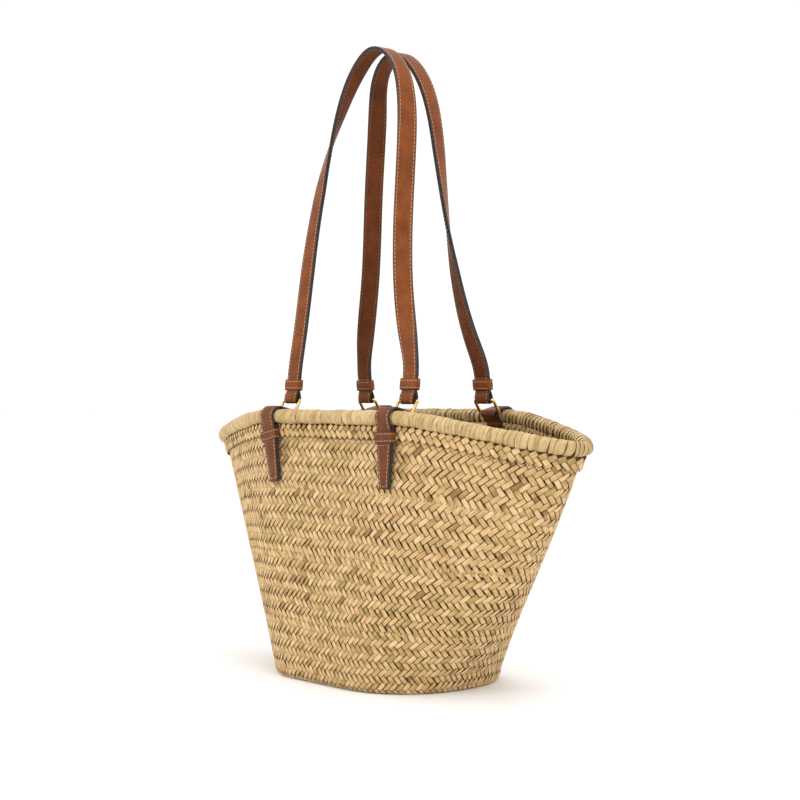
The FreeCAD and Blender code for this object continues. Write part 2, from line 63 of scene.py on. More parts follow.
core_low, core_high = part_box("rim_core")
base_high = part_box("base_weave")[1]
RIM_LENGTH = core_high[0] - CORE_RADIUS
RIM_WIDTH = core_high[1] - CORE_RADIUS
RIM_TOP = core_high[2] - CORE_RADIUS
RIM_TIP = core_low[2] + CORE_RADIUS
RIM_STRAIGHT = 104 * MM
RIM_SHOULDER = 36 * MM
RIM_REACH = 34 * MM
WALL_SETBACK = 3 * MM
WALL_TOP_DROP = ROLL_RADIUS + 0.2 * MM
CORNER_INSET = 9 * MM
CORNER_HEIGHT = 12 * MM
WALL_THICKNESS = 4 * MM
BASE_LENGTH = base_high[0] + CORNER_INSET + WALL_THICKNESS
BASE_WIDTH = base_high[1] + CORNER_INSET + WALL_THICKNESS
BASE_STRAIGHT = 40 * MM
BASE_SHOULDER = 52 * MM
BASE_REACH = 55 * MM
BULGE_ALONG = 0.035
BULGE_ACROSS = 0.05

SIDES = {"front": -1, "back": 1}
ENDS = {"left": -1, "right": 1}


# ---------------------------------------------------------------- mesh helpers

def new_object(name, vertices, faces, material, smooth=True):
    """A mesh in the scene."""
    mesh = bpy.data.meshes.new(name)
    mesh.from_pydata(np.asarray(vertices).tolist(), [], faces)
    mesh.materials.append(material)
    if smooth:
        mesh.polygons.foreach_set("use_smooth", [True] * len(mesh.polygons))
    mesh.update()
    piece = bpy.data.objects.new(name, mesh)
    bpy.context.scene.collection.objects.link(piece)
    return piece


def finish_piece(piece, body, slot, *nodes):
    """The body that a piece rides on, its material slot (not used) and the solids that it stands in for."""
    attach(piece, body)
    if nodes:
        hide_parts(*nodes)


def set_leaf_data(piece, along, across, tones):
    """Leaf coordinates for the materials: metres along, 0 to 1 across, three tones and a depth, which the
    leaf material turns into painted shade.
    """
    mesh = piece.data
    corners = np.empty(len(mesh.loops), dtype=np.int32)
    mesh.loops.foreach_get("vertex_index", corners)
    uv = mesh.uv_layers.new(name="leaf")
    pairs = np.stack([along[corners], across[corners]], axis=1).astype(np.float32)
    uv.data.foreach_set("uv", pairs.ravel())
    colour = mesh.color_attributes.new(name="tone", type="FLOAT_COLOR", domain="POINT")
    colour.data.foreach_set("color", tones.astype(np.float32).ravel())


def unit(v):
    """Directions of length 1."""
    return v / np.maximum(np.linalg.norm(v, axis=-1, keepdims=True), 1e-12)


def grid_faces(rows, columns, close_rows=False, close_columns=False, start=0):
    """Quads of a rows x columns grid of vertices, as an array of indices."""
    r = np.arange(rows if close_rows else rows - 1)
    c = np.arange(columns if close_columns else columns - 1)
    r, c = np.meshgrid(r, c, indexing="ij")
    r2, c2 = (r + 1) % rows, (c + 1) % columns
    quads = np.stack([r * columns + c, r * columns + c2, r2 * columns + c2, r2 * columns + c], axis=-1)
    return quads.reshape(-1, 4) + start


def end_caps(first, last, columns):
    """The two end faces of a tube whose first and last rings start at those vertices."""
    return [list(range(first + columns - 1, first - 1, -1)), list(range(last, last + columns))]


def sections(centres, wide, out, across, outward):
    """Cross-sections carried along a path; across and outward give each one's points."""
    return centres[:, None, :] + wide[:, None, :] * across[..., None] + out[:, None, :] * outward[..., None]


def travelled(points):
    """Distance of every point from the first one, along the line that they make."""
    return np.concatenate([[0], np.cumsum(np.linalg.norm(np.diff(points, axis=0), axis=1))])


def sample(wanted, distance, points):
    """A line of points or directions, read at the wanted distances along it."""
    return np.stack([np.interp(wanted, distance, column) for column in points.T], axis=1)


# ---------------------------------------------------------------- materials

WHITE = (1, 1, 1)


class Shader:
    """One material and its nodes. What is fed to a socket is a socket, a colour or a number."""

    def __init__(self, name):
        self.material = bpy.data.materials.new(name)
        self.material.use_nodes = True
        self.tree = self.material.node_tree

    def add(self, kind, **values):
        node = self.tree.nodes.new("ShaderNode" + kind)
        for key, value in values.items():
            setattr(node, key, value)
        return node

    def feed(self, socket, value):
        if isinstance(value, bpy.types.NodeSocket):
            self.tree.links.new(value, socket)
        elif isinstance(value, tuple):
            socket.default_value = (*value, 1)
        else:
            socket.default_value = value

    def fill(self, node, values):
        for name, value in values.items():
            self.feed(node.inputs[name], value)
        return node.outputs[0]

    def finish(self, values):
        """Sets the inputs of the material's own shader."""
        self.fill(self.tree.nodes["Principled BSDF"], values)
        return self.material

    def place(self):
        return self.add("TexCoord").outputs["Object"]

    def noise(self, place, scale, detail=2.0):
        return self.fill(self.add("TexNoise"), {"Vector": place, "Scale": scale, "Detail": detail})

    def spread(self, value, low, high):
        return self.fill(self.add("MapRange"), {"Value": value, "To Min": low, "To Max": high})

    def bump(self, height, strength, distance):
        values = {"Height": height, "Strength": strength, "Distance": distance}
        return self.fill(self.add("Bump"), values)

    def math(self, operation, first, second=0.0):
        return self.fill(self.add("Math", operation=operation), {0: first, 1: second})

    def ramp(self, value, stops):
        node = self.add("ValToRGB")
        elements = node.color_ramp.elements
        while len(elements) < len(stops):
            elements.new(0.5)
        for element, (place, colour) in zip(elements, stops):
            element.position = place
            element.color = (*colour, 1)
        return self.fill(node, {0: value})

    def mix(self, kind, factor, first, second):
        node = self.add("Mix", data_type="RGBA", blend_type=kind)
        self.fill(node, {0: factor, 6: first, 7: second})
        return node.outputs[2]

    def tint(self, colour, strength, value, stops):
        """A colour multiplied by a ramp that is read at value."""
        return self.mix("MULTIPLY", strength, colour, self.ramp(value, stops))


def leaf_material(name, tones, gloss=0.52):
    """Dried palm leaf: tones picked per float, fibres along the strand, painted shade at the edges and
    where a strand dives under its neighbours, some splits.
    """
    leaf = Shader(name)
    tone = leaf.add("VertexColor", layer_name="tone")
    parts = leaf.add("SeparateColor")
    leaf.feed(parts.inputs[0], tone.outputs["Color"])
    shade, seed, splits = parts.outputs
    place = leaf.add("SeparateXYZ")
    leaf.feed(place.inputs[0], leaf.add("UVMap", uv_map="leaf").outputs[0])
    along, across = place.outputs[0], place.outputs[1]

    def fibre(scale_along, scale_across, detail):
        spot = leaf.add("CombineXYZ")
        scaled = ((along, scale_along), (across, scale_across), (seed, 57.0))
        for socket, (value, scale) in zip(spot.inputs, scaled):
            leaf.feed(socket, leaf.math("MULTIPLY", value, scale))
        return leaf.noise(spot.outputs[0], 1.0, detail)

    fine = fibre(45.0, 13.0, 3.0)
    stain = fibre(110.0, 1.6, 2.0)
    colour = leaf.ramp(shade, tones)
    streaks = [(0.30, (0.66, 0.62, 0.55)), (0.52, WHITE), (0.75, (1.12, 1.1, 1.05))]
    colour = leaf.tint(colour, 0.75, fine, streaks)
    stains = [(0.36, (0.74, 0.70, 0.56)), (0.55, WHITE), (0.8, (1.06, 1.02, 0.98))]
    colour = leaf.tint(colour, 0.8, stain, stains)

    # distance from the middle of the strand, 0 to 0.5: painted shade darkens the edges, where the gaps
    # between strands fall
    middle = leaf.math("ABSOLUTE", leaf.math("SUBTRACT", across, 0.5))
    edges = [(0.0, WHITE), (0.40, WHITE), (0.5, (0.17, 0.10, 0.045))]
    colour = leaf.tint(colour, 0.9, middle, edges)

    # painted shade, read from the tone's alpha: dark where a strand dives under its neighbours, and at the
    # sunken edges of the rim's strips
    painted_hollow_shade = [(0.0, (0.07, 0.04, 0.016)), (0.42, (0.2, 0.13, 0.07)), (0.70, WHITE)]
    colour = leaf.tint(colour, 0.92, tone.outputs["Alpha"], painted_hollow_shade)

    # strands whose third tone is high are split along the middle
    split = leaf.math("GREATER_THAN", splits, 0.9)
    crack = leaf.math("MULTIPLY", split, leaf.math("LESS_THAN", middle, 0.03))
    colour = leaf.mix("MIX", crack, colour, (0.3, 0.19, 0.08))
    height = leaf.math("SUBTRACT", fine, leaf.math("MULTIPLY", crack, 1.4))
    return leaf.finish({
        "Base Color": colour,
        "Roughness": leaf.spread(fine, gloss + 0.18, gloss - 0.08),
        "Specular IOR Level": 0.3,
        "Normal": leaf.bump(height, 0.55, 0.4 * MM),
    })


def leather_material(name, colour, dark, roughness, shine):
    """Full-grain leather: fine pebble and soft mottling."""
    leather = Shader(name)
    place = leather.place()
    mottle = leather.noise(place, 55.0, 4.0)
    scuff = leather.noise(place, 420.0, 3.0)
    pores = leather.add("TexVoronoi")
    leather.fill(pores, {"Vector": place, "Scale": 1500.0})
    spots = [(0.35, (0.8, 0.78, 0.76)), (0.6, (1.04, 1.03, 1.02))]
    grain = leather.math("ADD", pores.outputs["Distance"], scuff)
    return leather.finish({
        "Base Color": leather.tint(leather.ramp(mottle, [(0.32, dark), (0.62, colour)]), 0.7, scuff, spots),
        "Roughness": leather.spread(scuff, roughness - 0.08, roughness + 0.12),
        "Specular IOR Level": shine,
        "Normal": leather.bump(grain, 0.35, 0.2 * MM),
    })


def paint_material():
    """Edge paint: nearly black, soft gloss, slightly uneven."""
    paint = Shader("edge_paint")
    noise = paint.noise(paint.place(), 260.0)
    return paint.finish({
        "Base Color": paint.ramp(noise, [(0.35, (0.012, 0.007, 0.005)), (0.65, (0.04, 0.022, 0.014))]),
        "Roughness": 0.38,
        "Normal": paint.bump(noise, 0.2, 0.2 * MM),
    })


def thread_material(name, low, high):
    """Waxed thread with a fine twist."""
    waxed = Shader(name)
    wave = waxed.add("TexWave", bands_direction="DIAGONAL")
    waxed.fill(wave, {"Vector": waxed.place(), "Scale": 900.0, "Distortion": 1.5})
    return waxed.finish({
        "Base Color": waxed.ramp(wave.outputs[0], [(0.2, low), (0.8, high)]),
        "Roughness": 0.55,
        "Normal": waxed.bump(wave.outputs[0], 0.4, 0.1 * MM),
    })


def brass_material():
    """Polished brass-coloured wire with faint wear."""
    metal = Shader("ring_brass")
    noise = metal.noise(metal.place(), 180.0, 4.0)
    return metal.finish({
        "Base Color": metal.ramp(noise, [(0.3, (0.62, 0.40, 0.13)), (0.7, (0.86, 0.63, 0.27))]),
        "Roughness": metal.spread(noise, 0.16, 0.34),
        "Metallic": 1.0,
    })


def floor_material():
    """Pale matt floor."""
    pale = Shader("pale_floor")
    noise = pale.noise(pale.place(), 2.0)
    return pale.finish({
        "Base Color": pale.ramp(noise, [(0.3, (0.93, 0.93, 0.93)), (0.7, (0.94, 0.94, 0.94))]),
        "Roughness": 0.8,
    })


STRAW = [
    (0.00, (0.30, 0.155, 0.06)),
    (0.12, (0.42, 0.235, 0.10)),
    (0.24, (0.44, 0.315, 0.125)),
    (0.38, (0.56, 0.37, 0.165)),
    (0.62, (0.66, 0.45, 0.215)),
    (0.84, (0.75, 0.53, 0.275)),
    (1.00, (0.71, 0.44, 0.245)),
]
PALE_LEAF = [
    (0.0, (0.37, 0.25, 0.095)),
    (0.25, (0.48, 0.335, 0.145)),
    (0.6, (0.57, 0.41, 0.20)),
    (1.0, (0.66, 0.50, 0.265)),
]
weave_leaf = leaf_material("woven_leaf", STRAW)
rim_leaf = leaf_material("wrapped_leaf", PALE_LEAF, gloss=0.46)
tan_leather = leather_material("tan_leather", (0.225, 0.06, 0.011), (0.155, 0.038, 0.007), 0.42, 0.17)
# a darker copy of the strap leather for the anchors and their keepers: painted shade for the parts that
# hang under the roll
anchor_leather_painted_shade = leather_material("anchor_leather_painted_shade", (0.17, 0.05, 0.013), (0.11, 0.03, 0.007), 0.42, 0.18)
lining_leather = leather_material("lining_leather", (0.15, 0.04, 0.009), (0.095, 0.024, 0.005), 0.5, 0.12)
edge_paint = paint_material()
thread = thread_material("cream_thread", (0.34, 0.22, 0.11), (0.62, 0.46, 0.28))
# the same thread as the cream one, darker for the stitches on the lining side: painted shade
inner_thread = thread_material("thread_painted_shade", (0.16, 0.08, 0.03), (0.30, 0.17, 0.08))
brass = brass_material()


# ---------------------------------------------------------------- basket surface

def bezier(poles, count):
    """Points along a cubic curve."""
    t = np.linspace(0, 1, count)[:, None]
    a, b, c, d = [np.array(p) for p in poles]
    return (1 - t) ** 3 * a + 3 * (1 - t) ** 2 * t * b + 3 * (1 - t) * t * t * c + t ** 3 * d


def quarter(length, width, straight, shoulder, reach, heights):
    """Poles of one quarter of an outline: flat in the middle of a side, square to the tip's axis."""
    middle, tip = heights
    return np.array([
        (straight, width, middle),
        (straight + shoulder, width, middle),
        (length, reach, tip),
        (length, 0, tip),
    ])


def rim_quarter(inset, drop):
    heights = (RIM_TOP - drop, RIM_TIP - drop)
    return quarter(RIM_LENGTH - inset, RIM_WIDTH - inset, RIM_STRAIGHT, RIM_SHOULDER, RIM_REACH, heights)


def base_quarter(inset, height):
    length, width = BASE_LENGTH - inset, BASE_WIDTH - inset
    return quarter(length, width, BASE_STRAIGHT, BASE_SHOULDER, BASE_REACH, (height, height))


def wall_quarter(level):
    """Outline of the wall between base (0) and rim (1), slightly swollen in between."""
    low = base_quarter(0, CORNER_HEIGHT)
    high = rim_quarter(WALL_SETBACK, WALL_TOP_DROP)
    swell = math.sin(math.pi * level)
    return (low + (high - low) * level) * np.array([1 + BULGE_ALONG * swell, 1 + BULGE_ACROSS * swell, 1])


def outline(poles, columns):
    """Closed outline, evenly spaced, starting in the middle of the back and going round by the
    left tip, the front and the right tip."""
    curve = bezier(poles, 90)
    straight = poles[0]
    half = np.linspace((0, straight[1], straight[2]), straight, 40)[:-1]
    part = np.vstack([half, curve])
    back_left = part * [-1, 1, 1]
    front_left = part[::-1][1:] * [-1, -1, 1]
    front_right = part[1:] * [1, -1, 1]
    back_right = part[::-1][1:]
    loop = np.vstack([back_left, front_left, front_right, back_right])
    distance = travelled(loop)
    wanted = np.linspace(0, distance[-1], columns + 1)[:-1]
    return sample(wanted, distance, loop), distance[-1]


class Surface:
    """The wall's outer face, from the flat base round its edge and up to the rim, as a table that
    is read at any place round it (0 to 1) and any distance up it (metres)."""

    COLUMNS = 720
    CORNER_RINGS = 8
    WALL_RINGS = 70

    def __init__(self):
        rings = []
        for angle in np.linspace(0, math.pi / 2, self.CORNER_RINGS + 1)[:-1]:
            inset = CORNER_INSET * (1 - math.sin(angle))
            rings.append(base_quarter(inset, CORNER_HEIGHT * (1 - math.cos(angle))))
        rings += [wall_quarter(level) for level in np.linspace(0, 1, self.WALL_RINGS)]
        outlines = [outline(r, self.COLUMNS) for r in rings]
        self.points = np.array([o[0] for o in outlines])
        self.lengths = np.array([o[1] for o in outlines])
        climb = np.linalg.norm(np.diff(self.points, axis=0), axis=2).mean(axis=1)
        self.heights = np.concatenate([[0], np.cumsum(climb)])
        around = np.roll(self.points, -1, axis=1) - np.roll(self.points, 1, axis=1)
        up = np.gradient(self.points, axis=0)
        self.normals = unit(np.cross(around, up))
        self.top = self.heights[-1]

    def read(self, table, place, height):
        row = np.interp(height, self.heights, np.arange(len(self.heights)))
        r0 = np.clip(row.astype(int), 0, len(self.heights) - 2)
        fr = (row - r0)[..., None]
        column = (place % 1.0) * self.COLUMNS
        c0 = column.astype(int) % self.COLUMNS
        fc = (column - np.floor(column))[..., None]
        c1 = (c0 + 1) % self.COLUMNS
        low = table[r0, c0] * (1 - fc) + table[r0, c1] * fc
        high = table[r0 + 1, c0] * (1 - fc) + table[r0 + 1, c1] * fc
        return low * (1 - fr) + high * fr

    def at(self, place, height):
        return self.read(self.points, place, height), unit(self.read(self.normals, place, height))


surface = Surface()


# ---------------------------------------------------------------- plaited strands

STRAND_THICKNESS = 0.9 * MM
STRAND_RISE = 0.95 * MM
STRAND_CROWN = 0.28 * MM
SAMPLES_PER_ROW = 3
# width of a strand against the room between its neighbours
STRAND_FILL = 1.02
# how far the grain of each strand is shifted from the one before, so that no two look alike
WALL_GRAIN_STEP = 0.37
BASE_GRAIN_STEP = 0.31
LASHING_GRAIN_STEP = 0.2
# strands that lean each way and rows of crossings, for each band from the base up
WALL_BANDS = [(112, 18), (124, 18), (132, 16), (136, 16)]
LOWEST_ROW_SIZE = 0.86
# every band starts where its falling strands come to the top
BAND_START = 1.5
SLANTS = ((1, "rising"), (-1, "falling"))
BASE_PITCH = 5.3 * MM
BASE_STRAND_REACH = 160 * MM


def smooth_noise(count, knots):
    """A smooth random line of that many values, about -1 to 1."""
    line = rng.normal(0, 0.5, knots + 2)
    return np.interp(np.linspace(0, knots, count), np.arange(knots + 2), line)


def float_tones(rows, patch=0.0):
    """A tone for each float of a strand, most of them like the strand's own and its patch's."""
    own = np.clip(rng.normal(0.6, 0.13), 0, 1)
    turns = np.floor((rows + 1.5) / 4.0).astype(int)
    turns -= turns.min()
    drift = rng.normal(0, 0.12, turns.max() + 1)
    odd = rng.random(turns.max() + 1) < 0.05
    drift[odd] -= rng.uniform(0.2, 0.45, odd.sum())
    return np.clip(own + drift[turns] + patch, 0.02, 0.98)


def patches(place, height):
    """Where the leaf is a little browner or paler, in patches of a few strands."""
    turn = 2 * math.pi * place
    cloud = np.sin(17 * turn + 60 * height) * np.sin(70 * height - 5 * turn + 1.3)
    cloud = cloud + np.sin(29 * turn - 45 * height + 2) * np.sin(52 * height + 3 * turn)
    return -0.3 * np.clip(cloud - 0.55, 0, 1) + 0.05 * cloud


def strand_mesh(centre, normal, width, along, tones, pieces, depth=None):
    """Adds one flat, slightly crowned strand to the lists in pieces."""
    count = len(centre)
    side = unit(np.cross(normal, unit(np.gradient(centre, axis=0))))
    half = (width / 2)[:, None]
    tilt = (0.16 * smooth_noise(count, max(count // 9, 2)) * MM)[:, None]
    top = STRAND_THICKNESS / 2
    crown = STRAND_CROWN
    outer_face = [
        centre - side * half + normal * (top * 0.3 - tilt),
        centre - side * half * 0.55 + normal * (top + crown * 0.6),
        centre + side * half * 0.10 + normal * (top + crown),
        centre + side * half * 0.62 + normal * (top + crown * 0.5),
        centre + side * half + normal * (top * 0.3 + tilt),
    ]
    inner_face = [
        centre + side * half * 0.4 - normal * (top + crown * 0.5),
        centre - side * half * 0.4 - normal * (top + crown * 0.5),
    ]
    across = np.array([0.0, 0.22, 0.55, 0.81, 1.0, 0.7, 0.3])
    columns = len(across)
    start = pieces["count"]
    last = start + (count - 1) * columns
    own = rng.random(2)
    colour = np.stack([tones, np.full(count, own[0]), np.full(count, own[1])], axis=1)
    # painted shade, kept in the tone's alpha: 1 where a face is lit, 0 where it is covered
    painted_lightness = np.ones((count, columns))
    if depth is not None:
        # painted shade: the outer face is lit where the strand lies on top, and the inner face where the
        # outer one is covered
        painted_lightness[:, :len(outer_face)] = depth[:, None]
        painted_lightness[:, len(outer_face):] = 1 - depth[:, None]
    pieces["vertices"].append(np.stack(outer_face + inner_face, axis=1).reshape(-1, 3))
    pieces["faces"].append(grid_faces(count, columns, False, True, start))
    pieces["caps"] += end_caps(start, last, columns)
    pieces["along"].append(np.repeat(along, columns))
    pieces["across"].append(np.tile(across, count))
    pieces["tones"].append(np.hstack([np.repeat(colour, columns, axis=0), painted_lightness.reshape(-1, 1)]))
    pieces["count"] += count * columns


def new_pieces():
    return {"count": 0, "vertices": [], "faces": [], "caps": [], "along": [], "across": [], "tones": []}


def finish_strands(name, pieces, material):
    faces = np.vstack(pieces["faces"]).tolist() + pieces["caps"]
    piece = new_object(name, np.vstack(pieces["vertices"]), faces, material)
    set_leaf_data(piece, np.concatenate(pieces["along"]), np.concatenate(pieces["across"]),
                  np.vstack(pieces["tones"]))
    return piece


def over_under(rows):
    """+1 where a rising strand lies on top, -1 where it runs underneath, in a 2/2 twill."""
    wave = np.cos(math.pi * (rows - 0.5) / 2)
    return np.tanh(2.4 * wave) / math.tanh(2.4)


def ripple(place, height):
    """How far the rows of the plait wander up and down, and sideways, by hand."""
    turn = 2 * math.pi * place
    calm = np.sin(np.clip(math.pi * height / surface.top, 0, math.pi))
    rise = 1.3 * np.sin(3 * turn + 0.8) + 0.9 * np.sin(5 * turn + 24 * height)
    rise = rise + 0.5 * np.sin(11 * turn + 2.1)
    drift = 1.6 * np.sin(31 * height + 2 * turn) + 0.7 * np.sin(67 * height + 5 * turn)
    return rise * calm * MM, drift * calm * MM


def plait_band(name, strands, rows_high, row_height, base_height, inset, slant, tuck):
    """Half of a plaited band: every strand that leans one way (slant +1 or -1)."""
    pieces = new_pieces()
    last_row = BAND_START + rows_high
    rows = np.arange(BAND_START - tuck, last_row + tuck + 1e-6, 1.0 / SAMPLES_PER_ROW)
    heights = base_height + row_height(rows)
    # the ends dive behind the next band
    beyond = np.maximum(BAND_START - rows, rows - last_row)
    for index in range(strands):
        sway = 0.09 * smooth_noise(len(rows), max(len(rows) // 9, 2))
        place = (index + slant * rows / 2 + sway) / strands
        perimeter = np.interp(heights, surface.heights, surface.lengths)
        rise, drift = ripple(place, heights)
        place = place + drift / perimeter
        point, normal = surface.at(place, np.clip(heights + rise, 0, surface.top))
        level = slant * over_under(rows) * (1 + 0.14 * smooth_noise(len(rows), len(rows) // 5))
        level = np.where(beyond > 0, level - 1.3 * beyond, level)
        centre = point + normal * (level * STRAND_RISE - inset)[:, None]
        spacing = perimeter / strands / math.sqrt(2)
        own = STRAND_FILL * rng.uniform(0.84, 1.07)
        width = spacing * own * (1 + 0.09 * smooth_noise(len(rows), max(len(rows) // 7, 2)))
        # how high the strand lies, 0 to 1; the leaf material paints shade where it is low
        depth = np.clip(0.5 + 0.5 * level, 0, 1)
        tones = float_tones(rows, patches(place, heights))
        along = travelled(centre) + index * WALL_GRAIN_STEP
        strand_mesh(centre, normal, width, along, tones, pieces, depth)
    return finish_strands(name, pieces, weave_leaf)


def make_wall():
    """The plaited bands, edge to edge up the wall; each row is a little taller than the one under it."""
    total = sum(rows for _, rows in WALL_BANDS)
    sizes = np.linspace(LOWEST_ROW_SIZE, 1.0, total)
    edges = np.concatenate([[0], np.cumsum(sizes)]) * surface.top / sizes.sum()
    first = 0
    for number, (strands, rows) in enumerate(WALL_BANDS, start=1):
        tuck = 1.0 if number > 1 else 0.0

        def row_height(row, first=first):
            return np.interp(row - BAND_START + first, np.arange(total + 1), edges)

        for slant, word in SLANTS:
            piece = plait_band(f"wall_strands_{number}_{word}", strands, rows, row_height, 0.0,
                               WALL_THICKNESS / 2, slant, tuck)
            finish_piece(piece, "basket", "woven_leaf", "wall_weave")
        first += rows


def inside_outline(points, corners):
    """Which flat points lie inside a closed outline: each crossed side of it changes the answer."""
    x, y = points[:, 0], points[:, 1]
    hit = np.zeros(len(points), dtype=bool)
    for (x1, y1), (x2, y2) in zip(corners, np.roll(corners, -1, axis=0)):
        if y1 != y2:
            crosses = (y1 > y) != (y2 > y)
            hit ^= crosses & (x < (x2 - x1) * (y - y1) / (y2 - y1) + x1)
    return hit


def make_base():
    """Flat plaited base: strands on both diagonals, cut to the base's outline."""
    edge, _ = outline(base_quarter(CORNER_INSET - 1.0 * MM, 0), 360)
    steps = int(BASE_STRAND_REACH / BASE_PITCH)
    diagonal = math.sqrt(0.5)
    rows = np.arange(-steps, steps + 1e-6, 1.0 / SAMPLES_PER_ROW)
    forward = rows * BASE_PITCH
    for slant, word in SLANTS:
        pieces = new_pieces()
        for index in range(-steps, steps + 1):
            sideways = index * BASE_PITCH + 0.2 * MM * smooth_noise(len(rows), 12)
            x = (forward - slant * sideways) * diagonal
            y = (slant * forward + sideways) * diagonal
            keep = np.nonzero(inside_outline(np.stack([x, y], axis=1), edge[:, :2]))[0]
            if len(keep) < 6:
                continue
            keep = np.arange(keep[0], keep[-1] + 1)
            # both families count their crossings from the same diagonal
            crossing = (rows - slant * index)[keep]
            level = slant * over_under(crossing)
            centre = np.stack([x[keep], y[keep], WALL_THICKNESS / 2 - level * STRAND_RISE], axis=1)
            normal = np.tile([0.0, 0.0, -1.0], (len(keep), 1))
            width = np.full(len(keep), BASE_PITCH * 0.97 * rng.uniform(0.94, 1.03))
            tones = float_tones(crossing)
            # how high the strand lies, 0 to 1; the leaf material paints shade where it is low
            depth = np.clip(0.5 + 0.5 * level, 0, 1)
            along = travelled(centre) + index * BASE_GRAIN_STEP
            strand_mesh(centre, normal, width, along, tones, pieces, depth)
        piece = finish_strands(f"base_strands_{word}", pieces, weave_leaf)
        finish_piece(piece, "basket", "woven_leaf", "base_weave")


make_wall()
make_base()


# ---------------------------------------------------------------- rim

RIM_COLUMNS = 2400
# one strip of the wrapping: points over its width, how far each stands out, and how light its painted shade
# leaves it (dark at both edges, where they sink under the neighbouring strips)
WRAP_ACROSS = np.array([-0.06, 0.0, 0.12, 0.5, 0.85, 1.10])
WRAP_RISE = np.array([-0.8, 0.05, 0.42, 0.4, 0.05, -0.75]) * MM
WRAP_PAINTED_LIGHTNESS = np.array([0.4, 0.9, 1.0, 1.0, 0.9, 0.4])
WRAP_RADIUS = ROLL_RADIUS - 1.0 * MM
WRAP_STEPS = 30
HEM_ROWS = 3.4
HEM_HEIGHT = 12.8 * MM
HEM_STRANDS = 136
HEM_PROUD = 1.5 * MM
LASHING_SPACING = 7.5 * MM
rim_line, rim_length = outline(rim_quarter(0, 0), RIM_COLUMNS)
rim_along = unit(np.roll(rim_line, -1, axis=0) - np.roll(rim_line, 1, axis=0))
rim_out = unit(np.cross(rim_along, np.tile([0.0, 0.0, 1.0], (RIM_COLUMNS, 1))))
rim_up = unit(np.cross(rim_out, rim_along))


def rim_frame(distance):
    """Centre, outward and upward directions of the roll at distances along it."""
    column = (distance / rim_length * RIM_COLUMNS) % RIM_COLUMNS
    low = column.astype(int) % RIM_COLUMNS
    high = (low + 1) % RIM_COLUMNS
    part = (column - np.floor(column))[..., None]
    return [t[low] * (1 - part) + t[high] * part for t in (rim_line, rim_out, rim_up)]


def make_wrap():
    """One leaf strip after another wound round the roll, each lapping over the one before."""
    widths = []
    while sum(widths) < rim_length:
        group = rng.integers(2, 7)
        usual = rng.choice([3.8, 4.6, 6.2, 7.6]) * MM
        widths += list(usual * rng.uniform(0.75, 1.25, group))
    widths = np.array(widths) * rim_length / sum(widths)
    starts = np.concatenate([[0], np.cumsum(widths)])[:-1]
    columns = len(WRAP_ACROSS)
    # each turn starts and ends underneath, where the roll sits on the wall
    turn = np.linspace(0, 1, WRAP_STEPS + 1)[:-1]
    angle = 2 * math.pi * turn - math.pi / 2
    pieces = new_pieces()
    for start, width in zip(starts, widths):
        lean = width * rng.uniform(0.55, 0.95)
        wobble = 0.3 * MM * np.sin(2 * angle + rng.uniform(0, 6.28))
        shift = lean * (turn - 0.5) + wobble
        lump = 0.3 * MM * math.sin(start * 61) + 0.25 * MM * math.sin(start * 143 + 1)
        radius = WRAP_RADIUS + (WRAP_RISE + lump + rng.normal(0, 0.14) * MM)[None, :, None]
        centre, out, up = rim_frame(start + shift[:, None] + WRAP_ACROSS[None, :] * width)
        point = centre + (out * np.cos(angle)[:, None, None] + up * np.sin(angle)[:, None, None]) * radius
        tone = np.clip(rng.normal(0.6, 0.2), 0, 1)
        colour = np.tile([tone, rng.random(), rng.random() * 0.9, 1.0], (WRAP_STEPS * columns, 1))
        # painted shade at the strip's sunken edges, in the tone's alpha
        colour[:, 3] = np.tile(WRAP_PAINTED_LIGHTNESS, WRAP_STEPS)
        pieces["vertices"].append(point.reshape(-1, 3))
        pieces["faces"].append(grid_faces(WRAP_STEPS, columns, True, False, pieces["count"])[:, ::-1])
        pieces["along"].append(np.repeat(angle * ROLL_RADIUS + start * 3.1, columns))
        pieces["across"].append(np.tile(np.clip(WRAP_ACROSS, 0, 1), WRAP_STEPS))
        pieces["tones"].append(colour)
        pieces["count"] += len(colour)
    piece = finish_strands("rim_wrapping", pieces, rim_leaf)
    finish_piece(piece, "basket", "wrapped_leaf", "rim_wrap")


def make_hem():
    """Folded band of plait under the roll, proud of the wall."""
    def row_height(row):
        return (row - BAND_START) / HEM_ROWS * HEM_HEIGHT

    for slant, word in SLANTS:
        piece = plait_band(f"hem_strands_{word}", HEM_STRANDS, HEM_ROWS, row_height,
                           surface.top - HEM_HEIGHT, -HEM_PROUD, slant, 0.0)
        finish_piece(piece, "basket", "wrapped_leaf", "rim_hem")


